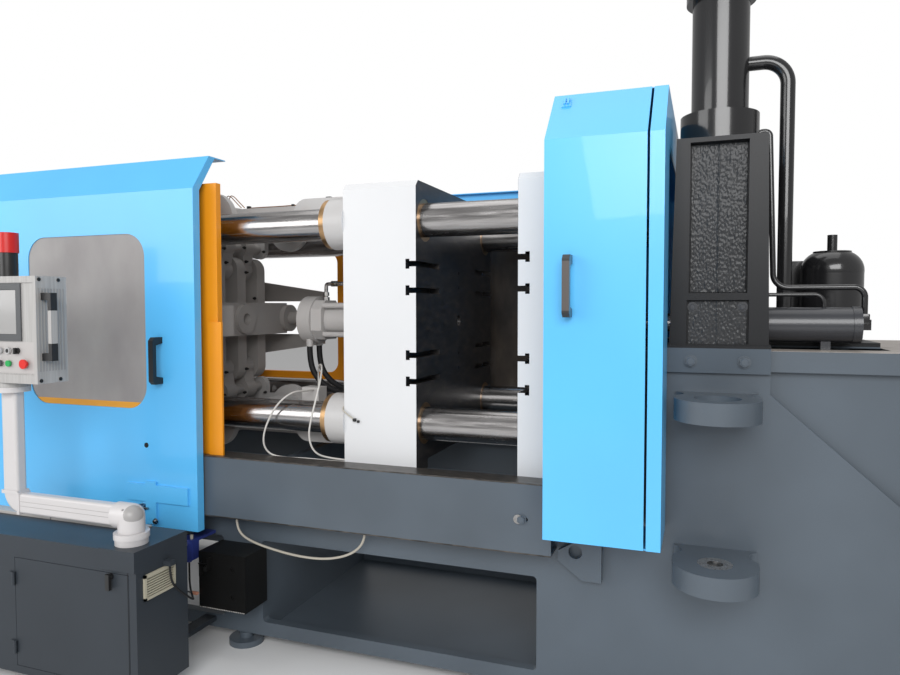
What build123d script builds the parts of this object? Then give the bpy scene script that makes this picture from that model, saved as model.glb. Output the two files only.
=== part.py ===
from build123d import *
import os
from math import atan2, degrees, hypot, radians, tan

# Hot chamber die casting machine, millimetres, +Z up.
# X runs along the clamping line towards the injection end, and -Y faces the operator.
# The origin is on the floor, below the centre of the fixed platen's die face.

# Driving dimensions of the clamping line
AXIS_Z = 1420
BAR_PITCH = 820
BAR_DIA = 135
PLATEN_W = 1010
PLATEN_TOP = 1980
PLATEN_BASE = 860
WAY_Z = 820
DAYLIGHT = 410
MOVING_T = 320
FIXED_T = 284
TAIL_T = 300
PLATEN_CHAMFER = 24
NOZZLE_BORE_D = 160

# Fits and clearances
RUN_FIT = 0.05
BODY_GAP = 0.4
SLIDE_GAP = 4
SEAM = 8

# T-slots in both die faces
MOVING_SLOTS = (128, 232)
FIXED_SLOTS = (130, 248)
SLOT_RUN = 255
SLOT_NECK_H = 22
SLOT_NECK_T = 28
SLOT_HEAD_H = 39
SLOT_HEAD_T = 17

# Tie bar ends and nuts
NUT_DIA = 200
NUT_T = 90
BAR_TAIL = 120

# Guide collars and bushes of the moving platen
COLLAR_DIA = 215
COLLAR_T = 87
BUSH_WALL = 8
BUSH_FLANGE_T = 24
BUSH_FLANGE_DIA = 206
BUSH_LIP = 6
LIP_SUNK = 1
FACE_RING_DIA = 170

# Toggle linkage, side view
TOGGLE_H = 480
FRONT_LINK = 480
REAR_LINK = 480
PLATEN_LUG = 300
EAR_ALONG = 280
EAR_DROP = 100
CROSS_PIN_H = 260
CROSS_PIN_LEAD = 260
TAIL_LUG = 140
LINK_HALF = 60
EYE_R = 66
SHORT_EYE_R = 50
CROSS_EYE_R = 70
MAIN_EYE_R = 112
PIN_R = 35
SHORT_PIN_R = 25
BOSS_R = 48
BOSS_T = 4

# Toggle linkage, layers across the machine
CHEEK_IN = 298
CHEEK_T = 36
LUG_LANE = 172
CROSS_LUG_T = 72
SHORT_T = 82
LANE_GAP = 4
FRONT_BODY_HALF = 214
FRONT_BODY_IN = 10
POCKET_WALL = 30
WEB_START = 40
WEB_LENGTH = 80
WEB_LIFT = 12

# Crosshead and its guides
CROSS_BEHIND = 70
CROSS_AHEAD = 143
CROSS_BUSH_LEAD = 170
CROSS_BAR_H = 170
GUIDE_PITCH = 800
GUIDE_DIA = 70
CROSS_BUSH_DIA = 150
CROSS_BUSH_T = 280
GUIDE_ARM_T = 25
GUIDE_ARM_Y = 480
GUIDE_ARM_TAIL_H = 511
GUIDE_ARM_TIP_H = 297
GUIDE_TIP = 330
GUIDE_BLOCK = 60
ARM_WINDOW_H = 190
ARM_WINDOW_IN = 80
ARM_WINDOW_OUT = 60
ARM_WINDOW_R = 20
CLAMP_ROD_DIA = 90
CROSS_BOSS_DIA = 150
CROSS_BOSS_T = 22
CROSS_BOSS_HOLE = 60
ROD_SHY = 40
CLAMP_PISTON_T = 50

# Clamping cylinder
CLAMP_BARREL_DIA = 270
CLAMP_BORE_DIA = 200
CLAMP_BARREL_L = 640
CLAMP_FLANGE_DIA = 350
CLAMP_FLANGE_T = 50

# Ejector cylinder behind the moving platen
EJECT_L = 402
EJECT_BARREL_DIA = 140
EJECT_BORE_DIA = 100
EJECT_FLANGE_DIA = 230
EJECT_FLANGE_T = 69
EJECT_ROD_DIA = 50
EJECT_PISTON_T = 40
EJECT_SHY = 8
EJECT_HEAD = 190
EJECT_HEAD_T = 56
EJECT_HEAD_CUT = 44
EJECT_STAY_DIA = 26
EJECT_STAY_PITCH = 139

# Clamp end of the bed
BED_HALF = 500
BED_WALL = 40
WAY_W = 120
WAY_T = 34
BED_LEFT = -2700
FOOT_H = 50
FOOT_DIA = 150
FOOT_IN = 20
BED_WINDOW_TOP = 470
BED_WINDOW_BASE = 110
BED_WINDOW_R = 16
WINDOW_NEAR = (-1140, 75)
WINDOW_FAR = (-2560, -1340)
PAN_T = 12

# Injection end of the bed
INJ_LEFT = 288
INJ_RIGHT = 2000
NECK_R = 864
NECK_BASE = 1188
NECK_TOP = 1257
DIAG_X = 1700
DIAG_Z = 440
SIDE_T = 30
RAIL_TOP = 1335
RAIL_W = 140
RAIL_H = 70
RAIL_STEP = 35
RAIL_INSET = 15
DECK_LEFT = 1240
TRACK_Y = 300
TRACK_TOP = 200

# Pivot lugs and lifting eye on the injection end
LUG_X = 698
LUG_OUT = 165
LUG_R = 133
LUG_T = 70
LUG_HIGH = 1190
LUG_LOW = 655
LUG_BORE_D = 145
BEARING_D = 110
BEARING_BORE = 50
BEARING_B = 27
BEARING_SPLIT_R = 34
BEARING_GAP = 0.6
EYE_OUT = 64
EYE_R_OUT = 63
EYE_TOP = 38
EYE_DROP = 103
EYE_LAP = 30
EYE_T = 28
EYE_HOLE_D = 50
EYE_Z = 590

# Door beams and safety guards
BEAM_FACE = 605
BEAM_TOP = 848
BEAM_BASE = 587
BEAM_WEB = 8
BEAM_LEFT = -2850
BEAM_RIGHT = 150
BEAM_SLOT_X = 42
BEAM_SLOT_Z = 715
BEAM_SLOT_L = 48
BEAM_SLOT_H = 16
BEAM_SLOT_R = 7.9
GUARD_Y = 570
GUARD_T = 30
GUARD_RISE = 31
GUARD_LEFT = -2600
GUARD_RIGHT = -1300
REAR_GUARD_RIGHT = -1234
GUARD_SIDE_W = 104
GUARD_SILL = 224
REAR_GUARD_SILL = 255
GUARD_HEAD = 215
GUARD_R = 60
GUARD_STRIP_W = 70
GUARD_STRIP_OUT = 25
GUARD_STRIP_TOP = 1419
GUARD_STRIP_T = 10

# Sliding doors
DOOR_FACE = 655
DOOR_SHEET = 4
DOOR_W = 1500
DOOR_RIGHT = -1350
DOOR_BASE = 530
DOOR_DROP = 3
DOOR_RISE = 152
DOOR_SLOPE = 106
DOOR_HOOD = 110
DOOR_RETURN = 40
PANE_LEFT = -2286
PANE_RIGHT = -1610
PANE_BASE = 1041
PANE_TOP = 1800
PANE_R = 100
PANE_T = 6
PANE_LAP = 25
HANDLE_L = 200
HANDLE_OUT = 58
HANDLE_W = 24
HANDLE_BAR = 20
HANDLE_FOOT = 26
HANDLE_CUT = 14
HANDLE_WEB = 8
DOOR_HANDLE_X = -1532
DOOR_HANDLE_Z = 1255
REAR_DOOR_LEFT = -1180
REAR_DOOR_TOP = 2100
REAR_PANE_IN = 260
SHOE_L = 160
SHOE_H = 39.6
SHOE_LAP = 2
LATCH_REACH = 370
LATCH_IN = 44
LATCH_T = 10
LATCH_RAIL_Z = 640
LATCH_RAIL_H = 74
LATCH_TONGUE_X = 212
LATCH_TONGUE_W = 56
LATCH_TOP = 728
LATCH_FOOT = 12

# Cover cabinet over the fixed platen
COVER_LEFT = 157
COVER_RIGHT = 535
COVER_FACE = 775
COVER_BACK = 525
COVER_BASE = 707
COVER_LIFT = 46
COVER_RISE = 184
COVER_SLOPE = 165
COVER_SHEET = 4
COVER_STRIP = 45
COVER_CLEAR = 40
COVER_GAP = 2
BRACKET_W = 60
BRACKET_LAP = 20
COVER_STEP = 180
COVER_HANDLE_X = 240
COVER_HANDLE_Z = 1549

# Injection frame
TOWER_LEFT = 557
TOWER_RIGHT = 846
TOWER_FLARE = 23
YOKE_BASE = 1840
YOKE_T = 216
TOWER_DEPTH = 200
PANEL_L = 602
PANEL_R = 788
PANEL_BASE = 1528
PANEL_LIP = 16
PANEL_DEEP = 34
LOW_PANEL_BASE = 1345
LOW_PANEL_TOP = 1505
FOOT_T = 20
KEEPER_T = 18
FOOT_STEP = 6
INJ_X = 698
SADDLE_RIGHT = 1230
SADDLE_T = 20
SADDLE_LAP = 60
YOKE_IN = 10
BRIDGE_IN = 40
BRIDGE_BASE = 1480
BRIDGE_T = 40

# Injection cylinder, plunger and melt parts
COLLAR_CYL_D = 297
COLLAR_CYL_H = 185
BARREL_D = 215
BARREL_L = 449
BARREL_WALL = 30
CAP_T = 60
CAP_D = 262
PLUNGER_D = 60
PLUNGER_BASE = 1150
PISTON_DROP = 80
PISTON_T = 60
COUPLING_D = 120
COUPLING_T = 110
FURNACE_L = 440
FURNACE_R = 980
FURNACE_HALF = 335
FURNACE_TOP = 1240
POT_R = 215
POT_WALL = 25
POT_DEPTH = 470
POT_RIM = 40
POT_RIM_T = 20
WELL_UNDER = 150
WELL_ROUND = 20
NECK_HALF = 78
NECK_LOW = 900
NECK_FLOOR = 60
NOZZLE_D = 70
NOZZLE_TIP_X = 40
NOZZLE_BORE = 18
NOZZLE_CONE = 60
CARRIAGE_STROKE = 150

# Carriage cylinders and hydraulic parts
CARR_Y = 350
CARR_D = 120
CARR_BORE = 84
CARR_L = 285
CARR_ROD = 56
CARR_END_T = 26
CARR_CAP_OUT = 3
CARR_HEAD = 30
CARR_FOOT_X = 120
CARR_FOOT_W = 40
CARR_FOOT_LAP = 4
ROD_FLANGE_T = 30
ACCU_X = 1132
ACCU_Y = 150
ACCU_D = 229
ACCU_TOP = 1705
ACCU_STEM = 65
ACCU_DOME = 90
PLATE_LEFT = 172
PLATE_RIGHT = 70
PLATE_T = 12
PLATE_DROP = 30
OIL_PIPE_D = 54
OIL_PIPE_X = 945
OIL_PIPE_DROP = 252
OIL_PIPE_BEND = 90
PIPE_SUNK = 12
MANIFOLD_UP = 60
MANIFOLD_HALF = 45
LINE_D = 20
LINE_IN = 40
LINE_START = 24
LINE_OVER = 44
LINE_OUT = 16
LINE_LOW = 1549
LINE_BENDS = [18, 18, 50, 34]
FITTING_W = 36
THIN_START = 14
THIN_BACK = 110
THIN_Z = 1524
THIN_BEND = 30

# Electrical cabinet, switch and junction box
CAB_LEFT = -2300
CAB_RIGHT = -1246
CAB_FRONT = 1110
CAB_BACK = 845
CAB_TOP = 600
CAB_BASE = 60
CAB_SHEET = 4
CAB_POST = 35
CAB_DOOR_W = 560
CAB_GAP = 2
CAB_SILL = 32
CAB_HEAD = 14
CAB_LEAF = 24
CAB_HINGE_L = 50
CAB_HINGE_UP = 80
CAB_HINGE_DOWN = 120
CAB_FOOT_W = 60
CAB_FOOT_IN = 20
CAB_FOOT_END = 40
CAB_STAY_X = 200
CAB_STAY_T = 20
BLOCK_LEFT = -1411
BLOCK_BASE = 530
BLOCK_OUT = 8
BLOCK_RISE = 6
LATCH_Z = 505
HINGE_R = 6
LATCH_X = -1360
LATCH_D = 24
LATCH_W = 18
LATCH_HUB = 10
LATCH_GRIP = 12
LATCH_DROP = 46
BOX_LEFT = -1349
BOX_RIGHT = -1117
BOX_FACE = 655
BOX_BASE = 210
BOX_TOP = 450
BOX_HOLE_IN = 61
BOX_HOLE_R = 9
BOX_HOLE_DEEP = 6
SWITCH_X = -1418
SWITCH_W = 71
SWITCH_Z = 404
SWITCH_TOP = 490
SWITCH_DEEP = 44
SWITCH_PLATE_T = 12
SWITCH_GLAND_R = 11
LEVER_HUB = 18
LEVER_T = 8
LEVER_L = 38

# Operator pendant and its arm
ARM_X = -1338
ARM_Y = -1032
ARM_Z = 707
ARM_REACH_X = -589
ARM_REACH_Y = 0
ARM_D = 80
ARM_W = 46
ARM_CORNER = 12
ARM_BEND = 50
ARM_ELBOW_R = 48
ARM_SLEEVE = 14
ARM_SLEEVE_OUT = 3
ARM_RING_T = 20
ARM_BASE_D = 126
ARM_BASE_H = 44
ARM_BASE_STEP = 4
NECK_LIP = 24
PEND_W = 436
PEND_D = 136
PEND_BASE = 1191
PEND_TOP = 1601
PEND_EDGE = 16
PEND_RECESS = 5
BEZEL_RIGHT = 140
BEZEL_BASE = 1354
BEZEL_TOP = 1574
BEZEL_RIM = 24
GRIP_BASE = 1279
GRIP_TOP = 1537
GRIP_OUT = 52
GRIP_W = 28
GRIP_BAR = 16
PEND_SILL = 34
PEND_HEAD = 25
BEZEL_OUT = 2
CONTROL_DEEP = 24
BUTTON_RIM = 3
NECK_T = 22
CONTROL_RIGHT = 115
CONTROL_PITCH = 44
CONTROL_COUNT = 6
CONTROL_HIGH = 125
CONTROL_LOW = 76
STOP_X = 159
BUTTON_D = 24
BUTTON_OUT = 14
BUTTON_LOW = 6
STEM_R = 8.6
STEM_IN = 10
CAP_OUT = 6
CAP_LAP = 2
KNOB_OUT = 10
KNOB_BAR = 8
LAMP_D = 75
LAMP_H = 174
LAMP_BASE = 95
LAMP_STEP = 4
LAMP_RED = -3
LAMP_AMBER = -105

# Hoses and cables
HOSE_D = 28
HOSE_NEAR_Y = -50
HOSE_FAR_Y = 40
HOSE_STUB_R = 17
TUBE_D = 8
BUNDLE_D = 10
LEAD_D = 8
BEND_SHARE = 0.45
LUBE_LEFT = -1060
LUBE_RIGHT = -975
LUBE_TOP = 1120
GLAND_W = 28
GLAND_OUT = 34

# Routes of the hoses, tubes and cable, as points chosen by hand
HOSE_ROUTE = [(-1166, 1290), (-1166, 1208), (-1125, 1130), (-1045, 1080), (-940, 1062), (-840, 1064),
              (-754, 1064)]
LUBE_ROUTE = [(-1000, -294, 1110), (-1000, -350, 1110), (-1022, -430, 1118), (-1062, -490, 1070),
              (-1102, -512, 985), (-1122, -515, 905), (-1100, -500, 850), (-1025, -490, 838),
              (-925, -488, 843), (-825, -486, 840), (-730, -486, 840)]
PLATEN_ROUTE = [(-995, -258, 1120), (-995, -258, 1170), (-972, -300, 1218), (-912, -372, 1236),
                (-868, -448, 1200), (-852, -510, 1125), (-866, -534, 1035), (-886, -532, 945),
                (-866, -518, 873), (-806, -478, 848), (-730, -478, 848)]
BEAM_ROUTE = [(-1225, -560, 587), (-1225, -560, 540), (-1193, -560, 500), (-1130, -560, 478),
              (-1045, -560, 462), (-955, -560, 450), (-860, -560, 446), (-770, -560, 454),
              (-690, -560, 478), (-635, -560, 515), (-612, -560, 560), (-612, -560, 587)]
LEAD_ROUTE = [(-1418, -633, 388), (-1418, -633, 345), (-1403, -650, 312), (-1365, -690, 298),
              (-1290, -765, 300), (-1222, -840, 330), (-1222, -900, 380), (-1224, -945, 425),
              (-1226, -962, 470), (-1226, -962, 512)]

# Values that follow from the driving dimensions
BAR_R = BAR_DIA / 2
HALF_PITCH = BAR_PITCH / 2
PLATEN_HALF = PLATEN_W / 2
DIE_X = -DAYLIGHT
MOVING_BACK = DIE_X - MOVING_T
FRONT_PIN_X = MOVING_BACK - PLATEN_LUG
MAIN_PIN_X = FRONT_PIN_X - FRONT_LINK
TAIL_PIN_X = MAIN_PIN_X - REAR_LINK
TAIL_FACE = TAIL_PIN_X - TAIL_LUG
TAIL_BACK = TAIL_FACE - TAIL_T
CROSS_X = TAIL_PIN_X + CROSS_PIN_LEAD
BAR_LEFT = TAIL_BACK - BAR_TAIL
BAR_RIGHT = FIXED_T + BAR_TAIL
CHEEK_OUT = CHEEK_IN + CHEEK_T
LANE_HALF = LUG_LANE * 1.5 + CROSS_LUG_T / 2
BUSH_R = BAR_R + BUSH_WALL
LUG_Y = -BED_HALF - LUG_OUT
NECK_R_OUT = ARM_D / 2 + NECK_LIP
RAIL_IN = BED_HALF - RAIL_W
DOOR_CREASE = PLATEN_TOP - DOOR_DROP
DOOR_TOP = DOOR_CREASE + DOOR_RISE
GUARD_TOP = DOOR_CREASE + GUARD_RISE
COVER_CREASE = PLATEN_TOP + COVER_LIFT
COVER_TOP = COVER_CREASE + COVER_RISE
TOWER_TOP = YOKE_BASE + YOKE_T
PANEL_TOP = TOWER_TOP - PANEL_LIP
COLLAR_CYL_TOP = TOWER_TOP + COLLAR_CYL_H
BARREL_TOP = COLLAR_CYL_TOP + BARREL_L
OIL_PIPE_Z = BARREL_TOP - OIL_PIPE_DROP
EJECT_BACK = MOVING_BACK - EJECT_L - EJECT_FLANGE_T
ARM_END = (ARM_X + ARM_REACH_X, ARM_Y + ARM_REACH_Y)
FOOT_LEFT = TOWER_LEFT - TOWER_FLARE
FOOT_RIGHT = TOWER_RIGHT + TOWER_FLARE - FOOT_STEP
CARR_X = FOOT_RIGHT
CAB_DOOR_LEFT = CAB_RIGHT - CAB_POST - CAB_DOOR_W
CAB_DOOR_BASE = CAB_BASE + CAB_SILL
CAB_DOOR_TOP = BLOCK_BASE - CAB_HEAD
BLOCK_TOP = CAB_TOP + BLOCK_RISE
ARM_FOOT_Z = BLOCK_TOP + ARM_BASE_H + BODY_GAP

os.makedirs("parts", exist_ok=True)


def block(x0, x1, y0, y1, z0, z1):
    """A box between two corners."""
    middle = ((x0 + x1) / 2, (y0 + y1) / 2, (z0 + z1) / 2)
    return Pos(*middle) * Box(abs(x1 - x0), abs(y1 - y0), abs(z1 - z0))


def rod_x(x0, x1, y, z, radius):
    """A round bar along X."""
    return Pos((x0 + x1) / 2, y, z) * Rot(0, 90, 0) * Cylinder(radius, x1 - x0)


def rod_y(y0, y1, x, z, radius):
    """A round bar along Y."""
    return Pos(x, (y0 + y1) / 2, z) * Rot(90, 0, 0) * Cylinder(radius, y1 - y0)


def rod_z(z0, z1, x, y, radius):
    """An upright round bar."""
    return Pos(x, y, (z0 + z1) / 2) * Cylinder(radius, z1 - z0)


def side_plate(points, y0, y1):
    """A plate with an outline drawn in the XZ plane, from y0 to y1."""
    face = make_face(Polyline(*points, close=True))
    return Pos(0, y1, 0) * extrude(Plane.XZ * face, y1 - y0)


def end_plate(points, x0, x1):
    """A plate with an outline drawn in the YZ plane, from x0 to x1."""
    face = make_face(Polyline(*points, close=True))
    return Pos(x0, 0, 0) * extrude(Plane.YZ * face, x1 - x0)


def rounded_window(x0, x1, z0, z1, radius, y0, y1):
    """The block of air in a window with round corners."""
    face = RectangleRounded(x1 - x0, z1 - z0, radius)
    return Pos((x0 + x1) / 2, y1, (z0 + z1) / 2) * extrude(Plane.XZ * face, y1 - y0)


def mirror_y(shape):
    """The same shape on the other side of the machine."""
    return mirror(shape, about=Plane.XZ)


def mirror_axis(shape):
    """The same shape below the clamping axis."""
    return mirror(shape, about=Plane.XY.offset(AXIS_Z))


def bar_centres():
    """The Y and Z of the four tie bars."""
    return [(side * HALF_PITCH, AXIS_Z + up * HALF_PITCH) for side in (-1, 1) for up in (1, -1)]


def group(solids):
    """Several separate solids kept in one node."""
    return Compound(children=list(solids))


def save(node, shape):
    """Write one node."""
    export_step(shape, "parts/" + node + ".step")


def t_slots(face_x, into, steps):
    """The air of the T-slots that run in from both sides of a die face."""
    air = []
    neck_end = face_x + into * SLOT_NECK_T
    head_end = neck_end + into * SLOT_HEAD_T
    for step in steps:
        for up in (1, -1):
            z = AXIS_Z + up * step
            for side in (1, -1):
                edge = side * (PLATEN_HALF + 1)
                inner = side * (PLATEN_HALF - SLOT_RUN)
                neck = block(face_x - into, neck_end, edge, inner, z - SLOT_NECK_H / 2, z + SLOT_NECK_H / 2)
                head = block(neck_end, head_end, edge, inner, z - SLOT_HEAD_H / 2, z + SLOT_HEAD_H / 2)
                air += [neck, head]
    return air


def platen_block(x0, x1, base):
    """A platen's slab with its long top edges chamfered."""
    half = PLATEN_HALF
    cut = PLATEN_CHAMFER
    outline = [(-half, base), (half, base), (half, PLATEN_TOP - cut), (half - cut, PLATEN_TOP)]
    outline += [(-half + cut, PLATEN_TOP), (-half, PLATEN_TOP - cut)]
    return end_plate(outline, x0, x1)


def toggle_lug(x_root, x_pin, y0, y1, radius, bore):
    """One upper lug from a platen's face out to its pin."""
    z = AXIS_Z + TOGGLE_H
    lug = block(x_root, x_pin, y0, y1, z - radius, z + radius) + rod_y(y0, y1, x_pin, z, radius)
    return lug - rod_y(y0 - 1, y1 + 1, x_pin, z, bore)


def platen_lugs(x_root, x_pin, bore):
    """The four lugs of one platen, above and below the axis."""
    y0 = LUG_LANE * 1.5 - CROSS_LUG_T / 2
    lugs = []
    for side in (1, -1):
        near = min(side * y0, side * LANE_HALF)
        far = max(side * y0, side * LANE_HALF)
        upper = toggle_lug(x_root, x_pin, near, far, EYE_R, bore)
        lugs += [upper, mirror_axis(upper)]
    return lugs


def moving_platen():
    """The moving platen with its toggle lugs, its bar collars and the two foot strips under it."""
    body = platen_block(MOVING_BACK, DIE_X, PLATEN_BASE)
    for y, z in bar_centres():
        body -= rod_x(MOVING_BACK - 1, DIE_X + 1, y, z, BUSH_R)
        body -= rod_x(DIE_X - BUSH_LIP - LIP_SUNK, DIE_X + 1, y, z, FACE_RING_DIA / 2)
    body -= rod_x(MOVING_BACK - 1, DIE_X + 1, 0, AXIS_Z, EJECT_ROD_DIA / 2 + RUN_FIT)
    body -= t_slots(DIE_X, -1, MOVING_SLOTS)
    for lug in platen_lugs(MOVING_BACK, FRONT_PIN_X, PIN_R + RUN_FIT):
        body += lug
    feet = []
    for side in (1, -1):
        edges = (side * PLATEN_HALF, side * (PLATEN_HALF - WAY_W))
        feet.append(block(MOVING_BACK, DIE_X, min(edges), max(edges), WAY_Z + BODY_GAP, PLATEN_BASE))
    return group([body] + feet + platen_collars())


def platen_collars():
    """The four round collars that lengthen the platen's bar guides."""
    collars = []
    for y, z in bar_centres():
        collar = rod_x(MOVING_BACK - COLLAR_T, MOVING_BACK, y, z, COLLAR_DIA / 2)
        collars.append(collar - rod_x(MOVING_BACK - COLLAR_T - 1, MOVING_BACK + 1, y, z, BUSH_R))
    return collars


def guide_bushes():
    """The four bronze bushes that run on the tie bars, each with a ring let into the die face."""
    bushes = []
    start = MOVING_BACK - COLLAR_T
    front = DIE_X - LIP_SUNK
    for y, z in bar_centres():
        bush = rod_x(start - BUSH_FLANGE_T, front, y, z, BUSH_R)
        bush += rod_x(start - BUSH_FLANGE_T, start, y, z, BUSH_FLANGE_DIA / 2)
        bush += rod_x(front - BUSH_LIP, front, y, z, FACE_RING_DIA / 2)
        bush -= rod_x(start - BUSH_FLANGE_T - 1, front + 1, y, z, BAR_R + RUN_FIT)
        bushes.append(bush)
    return group(bushes)


def fixed_platen():
    """The fixed platen with its bar holes, nozzle bore and T-slots."""
    body = platen_block(0, FIXED_T, WAY_Z)
    for y, z in bar_centres():
        body -= rod_x(-1, FIXED_T + 1, y, z, BAR_R)
    body -= rod_x(-1, FIXED_T + 1, 0, AXIS_Z, NOZZLE_BORE_D / 2)
    body -= t_slots(0, 1, FIXED_SLOTS)
    return body


def tail_platen():
    """The tail platen, which carries the clamping cylinder and the rear links."""
    body = platen_block(TAIL_BACK, TAIL_FACE, WAY_Z)
    for y, z in bar_centres():
        body -= rod_x(TAIL_BACK - 1, TAIL_FACE + 1, y, z, BAR_R)
    body -= rod_x(TAIL_BACK - 1, TAIL_FACE + 1, 0, AXIS_Z, CLAMP_ROD_DIA / 2 + SLIDE_GAP)
    for lug in platen_lugs(TAIL_FACE, TAIL_PIN_X, PIN_R + RUN_FIT):
        body += lug
    return body


def tie_bars():
    """The four tie bars."""
    return [rod_x(BAR_LEFT, BAR_RIGHT, y, z, BAR_R) for y, z in bar_centres()]


def tie_bar_nuts():
    """The eight split nuts on the tie bars, outside the two outer platens."""
    nuts = []
    for y, z in bar_centres():
        for x0 in (TAIL_BACK - NUT_T, FIXED_T):
            nut = rod_x(x0, x0 + NUT_T, y, z, NUT_DIA / 2)
            nuts.append(nut - rod_x(x0 - 1, x0 + NUT_T + 1, y, z, BAR_R))
    return nuts


def clamp_cylinder():
    """The clamping cylinder on the back of the tail platen."""
    x0 = TAIL_BACK - CLAMP_BARREL_L
    body = rod_x(x0, TAIL_BACK, 0, AXIS_Z, CLAMP_BARREL_DIA / 2)
    for start in (x0, TAIL_BACK - CLAMP_FLANGE_T):
        body += rod_x(start, start + CLAMP_FLANGE_T, 0, AXIS_Z, CLAMP_FLANGE_DIA / 2)
    body -= rod_x(x0 + CLAMP_FLANGE_T, TAIL_BACK - CLAMP_FLANGE_T, 0, AXIS_Z, CLAMP_BORE_DIA / 2)
    return body - rod_x(TAIL_BACK - CLAMP_FLANGE_T - 1, TAIL_BACK + 1, 0, AXIS_Z, CLAMP_ROD_DIA / 2 + RUN_FIT)


def cross_lugs(up):
    """The crosshead's four lugs on one side of the axis."""
    z_pin = AXIS_Z + up * CROSS_PIN_H
    z_root = AXIS_Z + up * CROSS_BAR_H / 2
    lugs = []
    for lane in (-1.5, -0.5, 0.5, 1.5):
        y0 = lane * LUG_LANE - CROSS_LUG_T / 2
        y1 = y0 + CROSS_LUG_T
        lug = block(CROSS_X - CROSS_EYE_R, CROSS_X + CROSS_EYE_R, y0, y1, z_root, z_pin)
        lugs.append(lug + rod_y(y0, y1, CROSS_X, z_pin, CROSS_EYE_R))
    return lugs


def crosshead():
    """The crosshead with its comb of lugs, its guide bushes, its centre boss and the piston rod."""
    half = GUIDE_PITCH / 2
    x0 = CROSS_X - CROSS_BEHIND
    x1 = CROSS_X + CROSS_AHEAD
    body = block(x0, x1, -half, half, AXIS_Z - CROSS_BAR_H / 2, AXIS_Z + CROSS_BAR_H / 2)
    body += rod_x(x1, x1 + CROSS_BOSS_T, 0, AXIS_Z, CROSS_BOSS_DIA / 2)
    for up in (1, -1):
        for lug in cross_lugs(up):
            body += lug
        z_pin = AXIS_Z + up * CROSS_PIN_H
        body -= rod_y(-LANE_HALF - 1, LANE_HALF + 1, CROSS_X, z_pin, SHORT_PIN_R + RUN_FIT)
    start = CROSS_X + CROSS_BUSH_LEAD - CROSS_BUSH_T
    end = start + CROSS_BUSH_T
    for y in (-half, half):
        body += rod_x(start, end, y, AXIS_Z, CROSS_BUSH_DIA / 2)
        body -= rod_x(start - 1, end + 1, y, AXIS_Z, GUIDE_DIA / 2 + RUN_FIT)
    rod_end = x1 - ROD_SHY
    body -= rod_x(x0 - 1, rod_end, 0, AXIS_Z, CLAMP_ROD_DIA / 2)
    body -= rod_x(rod_end - 1, x1 + CROSS_BOSS_T + 1, 0, AXIS_Z, CROSS_BOSS_HOLE / 2)
    piston_end = TAIL_BACK - CLAMP_FLANGE_T - SLIDE_GAP
    rod = rod_x(piston_end - CLAMP_PISTON_T, rod_end, 0, AXIS_Z, CLAMP_ROD_DIA / 2)
    piston = rod_x(piston_end - CLAMP_PISTON_T, piston_end, 0, AXIS_Z, CLAMP_BORE_DIA / 2 - RUN_FIT)
    return group([body, rod + piston])


def crosshead_guides():
    """Two guide rods, and the tapered arms that hold them out from the tail platen."""
    tip_x = CROSS_X + GUIDE_TIP
    arm_outline = [(TAIL_FACE, AXIS_Z - GUIDE_ARM_TAIL_H / 2), (tip_x, AXIS_Z - GUIDE_ARM_TIP_H / 2)]
    arm_outline += [(tip_x, AXIS_Z + GUIDE_ARM_TIP_H / 2), (TAIL_FACE, AXIS_Z + GUIDE_ARM_TAIL_H / 2)]
    window = (TAIL_FACE + ARM_WINDOW_IN, tip_x - GUIDE_BLOCK - ARM_WINDOW_OUT)
    pieces = []
    for side in (1, -1):
        y = side * GUIDE_PITCH / 2
        rod = rod_x(TAIL_FACE, tip_x, y, AXIS_Z, GUIDE_DIA / 2)
        arm = side_plate(arm_outline, GUIDE_ARM_Y, GUIDE_ARM_Y + GUIDE_ARM_T)
        arm -= rounded_window(*window, AXIS_Z - ARM_WINDOW_H / 2, AXIS_Z + ARM_WINDOW_H / 2, ARM_WINDOW_R,
                              GUIDE_ARM_Y - 1, GUIDE_ARM_Y + GUIDE_ARM_T + 1)
        arm += block(tip_x - GUIDE_BLOCK, tip_x, GUIDE_PITCH / 2 - GUIDE_DIA, GUIDE_ARM_Y,
                     AXIS_Z - GUIDE_DIA, AXIS_Z + GUIDE_DIA)
        arm -= rod_x(tip_x - GUIDE_BLOCK - 1, tip_x + 1, GUIDE_PITCH / 2, AXIS_Z, GUIDE_DIA / 2)
        pieces += [rod, arm if side > 0 else mirror_y(arm)]
    return group(pieces)


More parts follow.
